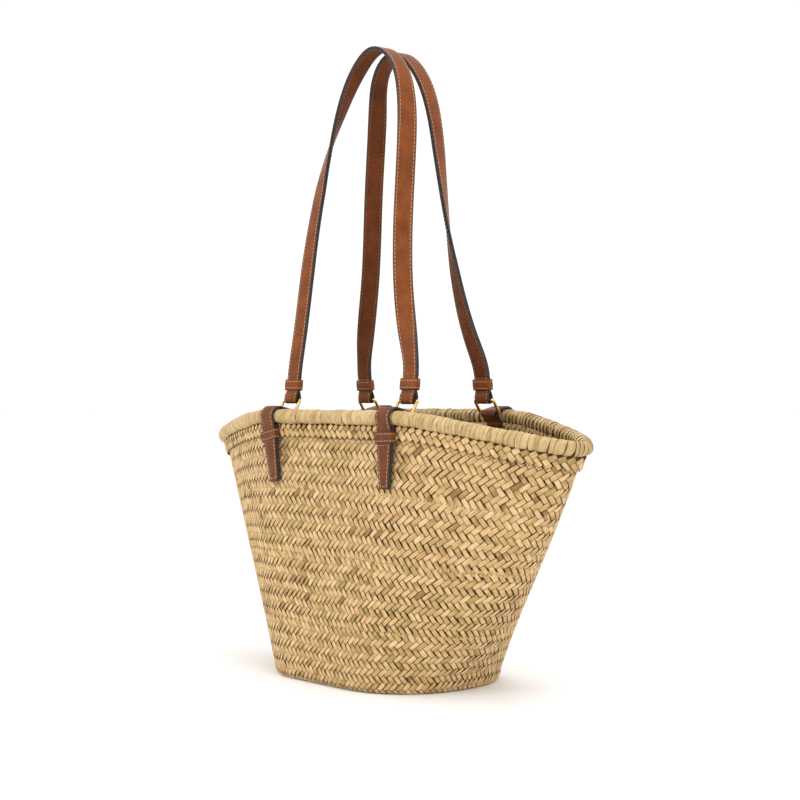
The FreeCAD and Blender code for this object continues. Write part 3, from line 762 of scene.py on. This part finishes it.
def make_lashing():
    """Narrow strips that sew the roll to the wall, seen inside under the roll."""
    pieces = new_pieces()
    count = int(rim_length / LASHING_SPACING)
    for index in range(count):
        start = index * rim_length / count + rng.normal(0, 0.9) * MM
        reach = rng.uniform(7, 13) * MM
        lean = rng.uniform(0.3, 1.0) * 7 * MM * rng.choice([1, 1, 1, -1])
        part = np.linspace(0, 1, 9)
        centre, out, up = rim_frame(start + lean * part)
        # over the inner side of the roll, then down the inside of the wall
        turn = math.radians(150) + np.clip(part / 0.6, 0, 1) * math.radians(75)
        radius = ROLL_RADIUS + 0.45 * MM
        down = np.clip((part - 0.6) / 0.4, 0, 1)
        point = centre + out * (np.cos(turn) * radius)[:, None] + up * (np.sin(turn) * radius)[:, None]
        point = point - up * (down * reach)[:, None] - out * (down * 1.2 * MM)[:, None]
        normal = unit(out * np.cos(turn)[:, None] + up * (np.sin(turn) * (1 - down))[:, None])
        width = np.full(len(part), rng.uniform(2.4, 3.8) * MM)
        tones = np.full(len(part), np.clip(rng.normal(0.5, 0.2), 0, 1))
        strand_mesh(point, normal, width, travelled(point) + index * LASHING_GRAIN_STEP, tones, pieces)
    finish_piece(finish_strands("rim_lashing", pieces, rim_leaf), "basket", "wrapped_leaf")


make_wrap()
make_hem()
make_lashing()


# ---------------------------------------------------------------- leather

RING_BOXES = {f"{s}_{e}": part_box(f"ring_{s}_{e}") for s in SIDES for e in ENDS}
ANCHOR_THICKNESS = 2.4 * MM
EDGE_ROUND = 0.7 * MM
STITCH_INSET = 2.3 * MM
STITCH_PITCH = 4.2 * MM
STITCH_LENGTH = 3.1 * MM
THREAD_RADIUS = 0.36 * MM
# how far a row of stitches lies below the leather's face
STITCH_SINK = 0.12 * MM
STITCH_RINGS = 6


def strip_profile(width, near, far):
    """Rounded cross-section of a leather layer (across, outward), with a shallow groove under each
    line of stitches on the outer face; and whether each of its sides is painted edge."""
    half, edge = width / 2, EDGE_ROUND
    stitch, groove, lip = half - STITCH_INSET, 0.28 * MM, 0.8 * MM
    slope = edge * 0.3
    top = [(-half + edge, far), (-stitch - lip, far), (-stitch, far - groove), (-stitch + lip, far),
           (0, far + 0.12 * MM), (stitch - lip, far), (stitch, far - groove), (stitch + lip, far),
           (half - edge, far)]
    right = [(half - slope, far - slope), (half, far - edge)]
    right += [(half, near + edge), (half - slope, near + slope)]
    bottom = [(half - edge, near), (0, near), (-half + edge, near)]
    left = [(-x, y) for x, y in right[::-1]]
    painted = [False] * (len(top) - 1) + [True] * 5 + [False] * 2 + [True] * 5
    return np.array(top + right + bottom + left), np.array(painted)


def leather_strip(name, centres, wide, out, widths, near, far, leather):
    """A leather layer with painted edges: faces in leather, its edges and ends in edge paint."""
    base, painted = strip_profile(STRAP_WIDTH, near, far)
    count, columns = len(centres), len(base)
    hand = np.sign(base[:, 0])
    inset = hand * (np.abs(base[:, 0]) - STRAP_WIDTH / 2)
    across = np.where(hand != 0, hand * (widths / 2)[:, None] + inset, 0.0)
    points = sections(centres, wide, out, across, base[None, :, 1])
    caps = end_caps(0, (count - 1) * columns, columns)
    faces = grid_faces(count, columns, False, True).tolist() + caps
    piece = new_object(name, points.reshape(-1, 3), faces, leather)
    piece.data.materials.append(edge_paint)
    index = np.concatenate([np.tile(painted, count - 1), [True] * len(caps)])
    piece.data.polygons.foreach_set("material_index", index.astype(np.int32))
    return piece


def stitches(points, out, wide, pitch=STITCH_PITCH, length=STITCH_LENGTH, closed=False):
    """Thread stitches along a line of points that lie on the leather: their vertices and faces."""
    distance = travelled(points)
    total = distance[-1]
    count = max(int(round((total - length) / pitch)), 1)
    around = np.linspace(0, 2 * math.pi, STITCH_RINGS + 1)[:-1]
    part = np.linspace(-0.5, 0.5, STITCH_RINGS)
    hump = 1 - (2 * np.abs(part)) ** 3
    rise = THREAD_RADIUS * (hump * 1.15 - 0.75)
    radius = (THREAD_RADIUS * (0.55 + 0.45 * hump))[:, None]
    vertices, faces = [], []
    for index in range(count + (0 if closed else 1)):
        middle = length / 2 + index * (total - length) / count
        place = np.clip(middle + part * length, 0, total)
        up, aside = [unit(sample(place, distance, table)) for table in (out, wide)]
        slant = aside * (part * 0.35 * MM * rng.uniform(0.6, 1.4))[:, None]
        centre = sample(place, distance, points) + up * rise[:, None] + slant
        rings = sections(centre, aside, up, np.cos(around) * radius, np.sin(around) * radius)
        start = index * STITCH_RINGS ** 2
        vertices.append(rings.reshape(-1, 3))
        faces += grid_faces(STITCH_RINGS, STITCH_RINGS, False, True, start).tolist()
        faces += end_caps(start, start + STITCH_RINGS * (STITCH_RINGS - 1), STITCH_RINGS)
    return np.vstack(vertices), faces


def sew(name, rows, material=thread):
    """One piece of thread from several rows of stitches."""
    faces, start = [], 0
    for vertices, row_faces in rows:
        faces += [[v + start for v in face] for face in row_faces]
        start += len(vertices)
    return new_object(name, np.vstack([vertices for vertices, _ in rows]), faces, material)


# ---------------------------------------------------------------- bent strips

def bent_line(points, radii, spacing=0.7 * MM):
    """Centre line of a bent strip in its own plane (outward, up): straight runs with arcs, evenly
    sampled, and the direction square to it (to the left of travel)."""
    points = [np.array(p, dtype=float) for p in points]
    line = [points[0]]
    for index in range(1, len(points) - 1):
        into = unit(points[index] - points[index - 1])
        away = unit(points[index + 1] - points[index])
        turn = math.acos(float(np.clip(into @ away, -1, 1)))
        bend = 1 if into[0] * away[1] - into[1] * away[0] > 0 else -1
        radius = radii[index - 1]
        normal = np.array([-into[1], into[0]]) * bend
        centre = points[index] - into * radius * math.tan(turn / 2) + normal * radius
        steps = max(int(turn / math.radians(7)), 2)
        for angle in np.linspace(0, turn, steps + 1) * bend:
            c, s = math.cos(angle), math.sin(angle)
            back = -normal * radius
            line.append(centre + np.array([c * back[0] - s * back[1], s * back[0] + c * back[1]]))
    line.append(points[-1])
    line = np.array(line)
    distance = travelled(line)
    keep = np.concatenate([[True], np.diff(distance) > 1e-6])
    line, distance = line[keep], distance[keep]
    wanted = np.linspace(0, distance[-1], int(distance[-1] / spacing) + 2)
    smooth = sample(wanted, distance, line)
    along = unit(np.gradient(smooth, axis=0))
    return smooth, np.stack([-along[:, 1], along[:, 0]], axis=1), wanted


def tangent_corner(centre, radius, entry, leave):
    """Where the lines that touch a circle at two angles meet."""
    middle, spread = (entry + leave) / 2, abs(entry - leave) / 2
    reach = radius / math.cos(spread)
    return (centre[0] + reach * math.cos(middle), centre[1] + reach * math.sin(middle))


BAR = (-16 * MM, 3 * MM)
BACK_AT_SLOT = 4.6 * MM
BACK_AT_TIP = 6.7 * MM
TIP_DROP = 70 * MM
SLOT_DROP = 10.2 * MM
TAPER_START = 27 * MM
TIP_WIDTH = 13 * MM
LEAN_START = 12 * MM
ANCHOR_KEEPER_DROP = 19 * MM
# how far each hanging tail leans to the right, seen from outside the bag, degrees
ANCHOR_LEANS = {
    ("front", "left"): 13,
    ("front", "right"): 2,
    ("back", "left"): 0,
    ("back", "right"): 0,
}
ANCHOR_LAYER = ANCHOR_THICKNESS + LAYER_GAP


def anchor_line():
    """The same folded route as the leather anchors have, in metres."""
    bar_radius = RING_WIRE + BAR_CLEARANCE + ANCHOR_THICKNESS / 2
    roll_radius = ROLL_RADIUS + 0.6 * MM + ANCHOR_THICKNESS / 2
    inside = -roll_radius - 0.5 * MM
    waist = -10 * MM
    front_at_waist = BACK_AT_SLOT + 0.15 * MM + ANCHOR_LAYER
    knee = (inside, -4.5 * MM)
    reach = math.hypot(*BAR)
    square = math.pi / 2
    over_roll = math.atan2(-BAR[1], -BAR[0]) + math.asin((roll_radius - bar_radius) / reach) + square
    to_bar = (BAR[0] - knee[0], BAR[1] - knee[1])
    under_bar = math.atan2(to_bar[1], to_bar[0]) + math.asin(bar_radius / math.hypot(*to_bar)) + square
    to_waist = math.hypot(front_at_waist, waist)
    leaving = math.atan2(waist, front_at_waist) + math.acos(roll_radius / to_waist)
    points = [
        (BACK_AT_TIP, -TIP_DROP),
        (BACK_AT_SLOT, -SLOT_DROP),
        (inside, -SLOT_DROP),
        knee,
        tangent_corner(BAR, bar_radius, under_bar, over_roll),
        tangent_corner((0, 0), roll_radius, over_roll, leaving),
        (front_at_waist, waist),
        (BACK_AT_TIP + ANCHOR_LAYER, -TIP_DROP),
    ]
    radii = [2.6 * MM, 3.2 * MM, 3.0 * MM, bar_radius, roll_radius, 8 * MM]
    return bent_line(points, radii)


def seat(side, end, out, up, outward, height, tilt=0.0):
    """Points of the rim's side plane (out, up arrays) placed beside an anchor."""
    ring_low, ring_high = RING_BOXES[f"{side}_{end}"]
    middle_x = (ring_low[0] + ring_high[0]) / 2
    c, s = math.cos(tilt), math.sin(tilt)
    turned_out = out * c - up * s
    turned_up = out * s + up * c
    points = np.empty((len(out), 3))
    points[:, 0] = middle_x
    points[:, 1] = SIDES[side] * (RIM_WIDTH + outward + turned_out)
    points[:, 2] = height + turned_up
    return points


def along_strip(side, line, normal):
    """Directions in space for a strip drawn in the side plane."""
    out = np.zeros((len(line), 3))
    out[:, 1] = SIDES[side] * normal[:, 0]
    out[:, 2] = normal[:, 1]
    wide = np.tile([1.0, 0.0, 0.0], (len(line), 1))
    return out, wide


def edge_row(face, out, wide, widths, part, hand):
    """Stitches along one edge (hand -1 or 1) of part of a strip."""
    aside = hand * (widths[part] / 2 - STITCH_INSET)
    return stitches(face[part] + wide[part] * aside[:, None], out[part], wide[part])


def make_anchor(side, end):
    corner = f"{side}_{end}"
    line, normal, distance = anchor_line()
    # the strip's outside is on the left of travel or on the right, whichever faces out at the end
    facing = 1.0 if normal[-1, 0] > 0 else -1.0
    normal = normal * facing
    centres = seat(side, end, line[:, 0], line[:, 1], 0.0, RIM_TOP)
    out, wide = along_strip(side, line, normal)
    below = np.clip((-line[:, 1] - TAPER_START) / (TIP_DROP - TAPER_START), 0, 1)
    widths = STRAP_WIDTH + (TIP_WIDTH - STRAP_WIDTH) * below
    half = ANCHOR_THICKNESS / 2

    # the hanging tail leans sideways about a point just under the roll's centre
    lean = math.radians(ANCHOR_LEANS[side, end])
    pivot = RIM_TOP - LEAN_START
    hanging = np.clip((pivot - centres[:, 2]) / (2 * MM) + 0.5, 0, 1)[:, None]
    along = np.maximum(pivot - centres[:, 2], 0)
    right = -SIDES[side]
    centres[:, 0] += right * along * math.sin(lean)
    centres[:, 2] += along * (1 - math.cos(lean))
    turned = np.sign(wide[:, :1]) * right
    leaning = wide * math.cos(lean) + turned * np.array([0.0, 0.0, math.sin(lean)])
    wide = unit(wide * (1 - hanging) + leaning * hanging)
    strip = leather_strip(f"anchor_{corner}", centres, wide, out, widths, -half, half, anchor_leather_painted_shade)
    finish_piece(strip, "basket", "tan_leather", f"anchor_strap_{corner}")

    # stitches down both edges of the front layer, under the keeper and across the tip
    front = (line[:, 0] > BACK_AT_SLOT) & (distance > distance[-1] * 0.6)
    on_face = centres + out * (half - STITCH_SINK)
    tail = np.nonzero(front & (line[:, 1] < -TAPER_START) & (line[:, 1] > -TIP_DROP + 2.2 * MM))[0]
    top = np.nonzero(front & (line[:, 1] > -10 * MM))[0]
    rows = [edge_row(on_face, out, wide, widths, tail, hand) for hand in (-1, 1)]
    under_keeper = (TAPER_START, STRAP_WIDTH / 2 - 0.8 * MM)
    at_tip = (TIP_DROP - 2.6 * MM, TIP_WIDTH / 2 - 1.2 * MM)
    for drop, reach in (under_keeper, at_tip):
        near = int(np.argmin(np.abs(line[:, 1] + drop) + np.where(front, 0, 1)))
        row = on_face[near] + wide[near] * np.linspace(-reach, reach, 12)[:, None]
        upward = np.tile(np.cross(wide[near], out[near]), (12, 1))
        outward = np.tile(out[near], (12, 1))
        rows.append(stitches(row, outward, upward, pitch=3.9 * MM, length=3.0 * MM))
    # the top of the loop, where it goes over the roll, is stitched along both edges too
    rows += [edge_row(on_face, out, wide, widths, top, hand) for hand in (-1, 1)]
    finish_piece(sew(f"anchor_thread_{corner}", rows), "basket", "tan_leather")


def loop_outline(width, depth, radius, steps=8):
    """Rounded rectangle as a closed line with its outward directions."""
    half = np.array([width / 2 - radius, depth / 2 - radius])
    points, normals = [], []
    for step, (sx, sy) in enumerate([(1, 1), (-1, 1), (-1, -1), (1, -1)]):
        for angle in np.linspace(step * math.pi / 2, (step + 1) * math.pi / 2, steps):
            direction = np.array([math.cos(angle), math.sin(angle)])
            points.append(half * [sx, sy] + direction * radius)
            normals.append(direction)
    return np.array(points), np.array(normals)


KEEPER_TALL = 11.5 * MM
KEEPER_WALL = 1.5 * MM
KEEPER_PLAY = 0.25 * MM
KEEPER_EDGE = 0.45 * MM
KEEPER_STITCHES = 2.3 * MM


def keeper_section():
    """Cross-section of a keeper's wall (outward, along) with two grooves for the stitches."""
    high, edge, wall, row = KEEPER_TALL / 2, KEEPER_EDGE, KEEPER_WALL, KEEPER_STITCHES
    lip, groove, swell = 0.8 * MM, 0.16 * MM, 0.08 * MM
    upper = [(swell, high - row - lip), (-groove, high - row)]
    upper += [(0.05 * MM, high - row + lip), (0, high - edge)]
    lower = [(x, -y) for x, y in upper[::-1]]
    rims = [(-edge, high), (-wall + edge, high), (-wall, high - edge)]
    return np.array(lower + [(groove, 0)] + upper + rims + [(x, -y) for x, y in rims[::-1]])


def make_keeper(name, side, end, stack, outward, height, tilt, body, node, leather, shift=0.0, lean=0.0):
    """Leather loop with rounded, painted edges and two rows of stitches round it."""
    margin = 2 * (KEEPER_PLAY + KEEPER_WALL)
    line, normal = loop_outline(STRAP_WIDTH + margin, stack + margin, 1.6 * MM)
    section = keeper_section()
    count, columns = len(line), len(section)
    right = -SIDES[side]

    def placed(flat, up):
        x, out, up = flat[..., 0].ravel(), flat[..., 1].ravel(), up.ravel()
        raised = up * math.cos(lean) + x * math.sin(lean)
        points = seat(side, end, out, raised, outward, height, tilt)
        points[:, 0] += right * (shift + x * math.cos(lean) - up * math.sin(lean))
        return points

    flat = line[:, None, :] + normal[:, None, :] * section[None, :, :1]
    vertices = placed(flat, np.tile(section[:, 1], (count, 1)))
    piece = new_object(name, vertices, grid_faces(count, columns, True, True).tolist(), leather)
    piece.data.materials.append(edge_paint)
    column = np.tile(np.arange(columns), count)
    rims = ((column >= 8) & (column <= 10)) | (column >= 12)
    piece.data.polygons.foreach_set("material_index", rims.astype(np.int32))
    finish_piece(piece, body, "tan_leather", node)

    # the rows start in the middle of the inner face so that the seam is out of sight
    turn = np.roll(np.arange(count), -int(np.argmin(normal[:, 1] + np.abs(line[:, 0]) * 1e-3)))
    turn = np.append(turn, turn[0])
    row_line = line[turn] - normal[turn] * 0.1 * MM
    rows = []
    for hand in (-1, 1):
        up = np.full(len(turn), hand * (KEEPER_TALL / 2 - KEEPER_STITCHES))
        points = placed(row_line, up)
        outwards = unit(placed(row_line + normal[turn] * MM, up) - points)
        upwards = np.tile([0.0, 0.0, 1.0], (len(turn), 1))
        rows.append(stitches(points, outwards, upwards, pitch=3.8 * MM, length=2.9 * MM, closed=True))
    finish_piece(sew(f"{name}_thread", rows), body, "tan_leather")


# ---------------------------------------------------------------- straps

RING_PITCH = 17 * MM
RING_TILT = math.radians(33)
STRAP_KEEPER_RISE = 16 * MM
UPPER_BAR = (BAR[0] - RING_PITCH * math.sin(RING_TILT), BAR[1] + RING_PITCH * math.cos(RING_TILT))
# each strap's legs in its own plane (along the rim, height) and their twists (height, degrees),
# from the ring upwards; millimetres
STRAP_LEGS = {
    ("front", "left"): [(-90, 360), (-86, 431), (-76, 517), (-66, 560), (-51, 602), (-28, 642)],
    ("front", "right"): [(85, 352), (71, 405), (62, 475), (58, 546), (49, 609), (31, 643)],
    ("back", "left"): [(-87, 355), (-70, 420), (-51, 519), (-42, 562), (-34, 603), (-20, 643)],
    ("back", "right"): [(83, 350), (67, 412), (59, 485), (56, 545), (50, 600), (34, 636)],
}
STRAP_TOPS = {"front": (-4, 659), "back": (4, 656)}
STRAP_TWISTS = {
    ("front", "left"): [(430, 0), (517, 13), (560, 34), (603, 66), (642, 90)],
    ("front", "right"): [(335, 0), (365, 26), (405, 47), (555, 50), (609, 76), (640, 90)],
    ("back", "left"): [(335, 0), (365, 26), (405, 47), (580, 50), (611, 74), (640, 90)],
    ("back", "right"): [(335, 0), (384, 11), (426, 24), (467, 45), (509, 61), (551, 75), (610, 86),
                        (640, 90)],
}


def clamped_spline(points, first, last, count):
    """Smooth curve through points with the given end directions, evenly spaced along its length."""
    spans = np.linalg.norm(np.diff(points, axis=0), axis=1)
    knots = np.concatenate([[0], np.cumsum(spans)])
    number = len(points)
    matrix = np.zeros((number, number))
    right = np.zeros((number, 3))
    matrix[0, 0] = matrix[-1, -1] = 1
    right[0], right[-1] = unit(first), unit(last)
    for k in range(1, number - 1):
        before, after = spans[k - 1], spans[k]
        matrix[k, k - 1], matrix[k, k], matrix[k, k + 1] = after, 2 * (before + after), before
        come, go = points[k] - points[k - 1], points[k + 1] - points[k]
        right[k] = 3 * (after * come / before + before * go / after)
    slopes = np.linalg.solve(matrix, right)

    def read(place):
        k = np.clip(np.searchsorted(knots, place) - 1, 0, number - 2)
        width = spans[k]
        t = ((place - knots[k]) / width)[:, None]
        width = width[:, None]
        return ((2 * t ** 3 - 3 * t ** 2 + 1) * points[k] + (t ** 3 - 2 * t ** 2 + t) * width * slopes[k]
                + (-2 * t ** 3 + 3 * t ** 2) * points[k + 1] + (t ** 3 - t ** 2) * width * slopes[k + 1])

    fine = read(np.linspace(0, knots[-1], 4000))
    distance = travelled(fine)
    return sample(np.linspace(0, distance[-1], count), distance, fine)


def strap_frames(side, count=620):
    """Points along a strap with its width and outward directions, as the leather layers run."""
    half = (RING_BOXES[f"{side}_right"][0][0] + RING_BOXES[f"{side}_right"][1][0]) / 2
    bar_height = RIM_TOP + UPPER_BAR[1]
    bar_across = RIM_WIDTH + UPPER_BAR[0]
    end_height = bar_height + STRAP_END * math.cos(STRAP_LEAN)
    route = STRAP_LEGS[side, "left"] + [STRAP_TOPS[side]] + STRAP_LEGS[side, "right"][::-1]
    route = np.vstack([[(-half, end_height)], np.array(route) * MM, [(half, end_height)]])
    across = bar_across - (route[:, 1] - bar_height) * math.tan(STRAP_LEAN)
    points = np.stack([route[:, 0], -across, route[:, 1]], axis=1)
    rise = np.array([0, math.sin(STRAP_LEAN), math.cos(STRAP_LEAN)])
    line = clamped_spline(points, rise, -rise, count)
    along = unit(np.gradient(line, axis=0))
    falling = along[:, 2] < 0
    hand = np.where(falling, 1.0, -1.0)
    turns = []
    for end in ENDS:
        heights, degrees = np.array(STRAP_TWISTS[side, end]).T
        turns.append(np.radians(np.interp(line[:, 2], heights * MM, degrees)))
    turn = np.where(falling, turns[1], turns[0])
    window = np.hanning(31)
    turn = np.convolve(np.pad(turn, 15, mode="edge"), window / window.sum(), mode="valid")
    wide = np.stack([hand * np.cos(turn), np.sin(turn), np.zeros(count)], axis=1)
    wide = unit(wide - along * (along * wide).sum(axis=1)[:, None])
    out = unit(np.cross(along, wide))
    if side == "back":
        flip = np.array([1, -1, 1])
        line, wide, out = line * flip, wide * flip, out * flip
    return line, wide, out


def strap_end_line():
    """Loop of the outer layer round the ring's upper bar: (outward, up) from the bar."""
    centre = LAYER / 2 + LAYER_GAP / 2
    round_bar = RING_WIRE + BAR_CLEARANCE + LAYER / 2
    closed_at, open_at, bend = 9 * MM, 3.8 * MM, 4 * MM
    front = [(centre, STRAP_END), (centre, closed_at), (round_bar, open_at), (round_bar, -round_bar)]
    points = front + [(-out, up) for out, up in front[::-1]]
    points[-1] = (-centre, STRAP_END - 0.2 * MM)
    return bent_line(points, [bend, bend, round_bar, round_bar, bend, bend], 0.6 * MM)


def make_strap(side):
    """Outer leather, lining and the outer's loops round both rings, with all their thread."""
    body = f"strap_{side}"
    line, wide, out = strap_frames(side)
    whole = np.arange(len(line))
    widths = np.full(len(line), STRAP_WIDTH)
    near, far = LAYER_GAP / 2, LAYER_GAP / 2 + LAYER
    outer = leather_strip(f"{body}_outer_leather", line, wide, out, widths, near, far, tan_leather)
    finish_piece(outer, body, "tan_leather", f"{body}_outer")
    lining = leather_strip(f"{body}_lining_leather", line, wide, out, widths, -far, -near, lining_leather)
    finish_piece(lining, body, "lining_leather", f"{body}_lining")

    rows, inner_rows = [], []
    for hand in (-1, 1):
        rows.append(edge_row(line + out * (far - STITCH_SINK), out, wide, widths, whole, hand))
        inner_rows.append(edge_row(line - out * (far - 0.02 * MM), -out, wide, widths, whole, hand))
    # painted shade: the rows on the lining side get the darker copy of the thread
    inner = sew(f"{body}_inner_thread", inner_rows, inner_thread)
    finish_piece(inner, body, "lining_leather")

    loop, normal, _ = strap_end_line()
    beyond = loop + math.copysign(MM, normal[0, 0]) * normal
    across = np.tile([1.0, 0.0, 0.0], (len(loop), 1))
    whole = np.arange(len(loop))
    widths = np.full(len(loop), STRAP_WIDTH)
    place = (UPPER_BAR[0], RIM_TOP + UPPER_BAR[1], STRAP_LEAN)
    for end in ENDS:
        centres = seat(side, end, loop[:, 0], loop[:, 1], *place)
        outward = unit(seat(side, end, beyond[:, 0], beyond[:, 1], *place) - centres)
        piece = leather_strip(f"{body}_loop_{end}", centres, across, outward, widths, -LAYER / 2, LAYER / 2,
                              tan_leather)
        finish_piece(piece, body, "tan_leather", f"{body}_outer")
        face = centres + outward * (LAYER / 2 - STITCH_SINK)
        rows += [edge_row(face, outward, across, widths, whole, hand) for hand in (-1, 1)]
    finish_piece(sew(f"{body}_thread", rows), body, "tan_leather")


def make_ring(side, end):
    """Round wire bent to a rounded rectangle that stands on its lower bar."""
    corner = f"{side}_{end}"
    line, normal = loop_outline(27.4 * MM, RING_PITCH, 3 * MM, 10)

    def placed(flat):
        up = flat[:, 1] + RING_PITCH / 2
        points = seat(side, end, np.zeros(len(flat)), up, BAR[0], RIM_TOP + BAR[1], RING_TILT)
        points[:, 0] += flat[:, 0]
        return points

    centres = placed(line)
    wide = unit(placed(line + normal * MM) - centres)
    out = unit(np.cross(unit(np.roll(centres, -1, axis=0) - np.roll(centres, 1, axis=0)), wide))
    angle = np.linspace(0, 2 * math.pi, 19)[:-1]
    across, outward = [RING_WIRE * turn[None, :] for turn in (np.cos(angle), np.sin(angle))]
    points = sections(centres, wide, out, across, outward)
    faces = grid_faces(*points.shape[:2], True, True).tolist()
    piece = new_object(f"ring_wire_{corner}", points.reshape(-1, 3), faces, brass)
    finish_piece(piece, f"ring_{corner}", "ring_metal", f"ring_{corner}")


def make_anchor_keeper(side, end):
    """Keeper that holds both layers of an anchor together, turned as its tail leans."""
    slope = (BACK_AT_TIP - BACK_AT_SLOT) / (TIP_DROP - SLOT_DROP)
    lean = math.radians(ANCHOR_LEANS[side, end])
    along = ANCHOR_KEEPER_DROP - LEAN_START + STRAP_WIDTH / 2.6 * math.sin(lean)
    drop = LEAN_START + along * math.cos(lean)
    outward = BACK_AT_SLOT + slope * (drop - SLOT_DROP) + ANCHOR_LAYER / 2
    make_keeper(f"anchor_loop_{side}_{end}", side, end, 2 * ANCHOR_THICKNESS + LAYER_GAP, outward,
                RIM_TOP - drop, math.atan(slope), "basket", f"anchor_keeper_{side}_{end}", anchor_leather_painted_shade,
                along * math.sin(lean), lean)


def make_strap_keeper(side, end):
    """Keeper where a strap's two layers meet above the ring."""
    outward = UPPER_BAR[0] - STRAP_KEEPER_RISE * math.sin(STRAP_LEAN)
    height = RIM_TOP + UPPER_BAR[1] + STRAP_KEEPER_RISE * math.cos(STRAP_LEAN)
    make_keeper(f"strap_loop_{side}_{end}", side, end, 2 * LAYER + LAYER_GAP, outward, height, STRAP_LEAN,
                f"strap_{side}", f"strap_keeper_{side}_{end}", tan_leather)


for side in SIDES:
    for end in ENDS:
        make_anchor(side, end)
        make_anchor_keeper(side, end)
        make_strap_keeper(side, end)
        make_ring(side, end)
    make_strap(side)

# the hidden fibre bundle inside the roll
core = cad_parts["rim_core"]
core.data.materials.clear()
core.data.materials.append(rim_leaf)


# ---------------------------------------------------------------- floor, light and camera

FLOOR_REACH = 30
floor_corners = [(FLOOR_REACH * x, FLOOR_REACH * y, 0) for x, y in ((-1, -1), (1, -1), (1, 1), (-1, 1))]
floor = new_object("floor", floor_corners, [(0, 1, 2, 3)], floor_material(), smooth=False)

bpy.context.scene.view_settings.view_transform = "Standard"

world = bpy.data.worlds.new("studio")
world.use_nodes = True
sky = world.node_tree.nodes["Background"]
sky.inputs["Color"].default_value = (*WHITE, 1)
sky.inputs["Strength"].default_value = 1.08
bpy.context.scene.world = world


def softbox(name, place, target, size, power, colour=WHITE):
    """A soft rectangular lamp that looks at a point."""
    light = bpy.data.lights.new(name, "AREA")
    light.shape = "RECTANGLE"
    light.size, light.size_y = size
    light.energy = power
    light.color = colour
    lamp = bpy.data.objects.new(name, light)
    lamp.location = place
    lamp.rotation_euler = (Vector(target) - Vector(place)).to_track_quat("-Z", "Y").to_euler()
    bpy.context.scene.collection.objects.link(lamp)


softbox("key", (-0.3, -1.9, 1.6), (0, 0, 0.25), (1.0, 1.0), 11, (1, 0.985, 0.96))
softbox("fill", (2.2, -0.6, 0.9), (0, 0, 0.25), (1.2, 1.2), 6)
softbox("top", (0.2, 0.1, 2.2), (0, 0, 0.2), (1.2, 1.0), 13)

CAMERA_DISTANCE = 1.715
CAMERA_AZIMUTH = math.radians(48.48)
CAMERA_HEIGHT = 0.296
CAMERA_LENS = 72.95
CAMERA_SHIFT = (0.0171, -0.0069)

camera_data = bpy.data.cameras.new("camera")
camera_data.lens = CAMERA_LENS
camera_data.sensor_width = 36
camera_data.shift_x, camera_data.shift_y = CAMERA_SHIFT
camera_data.clip_start = 0.05
camera = bpy.data.objects.new("camera", camera_data)
camera.location = (
    CAMERA_DISTANCE * math.sin(CAMERA_AZIMUTH),
    -CAMERA_DISTANCE * math.cos(CAMERA_AZIMUTH),
    CAMERA_HEIGHT,
)
camera.rotation_euler = (math.pi / 2, 0, CAMERA_AZIMUTH)
bpy.context.scene.collection.objects.link(camera)
bpy.context.scene.camera = camera
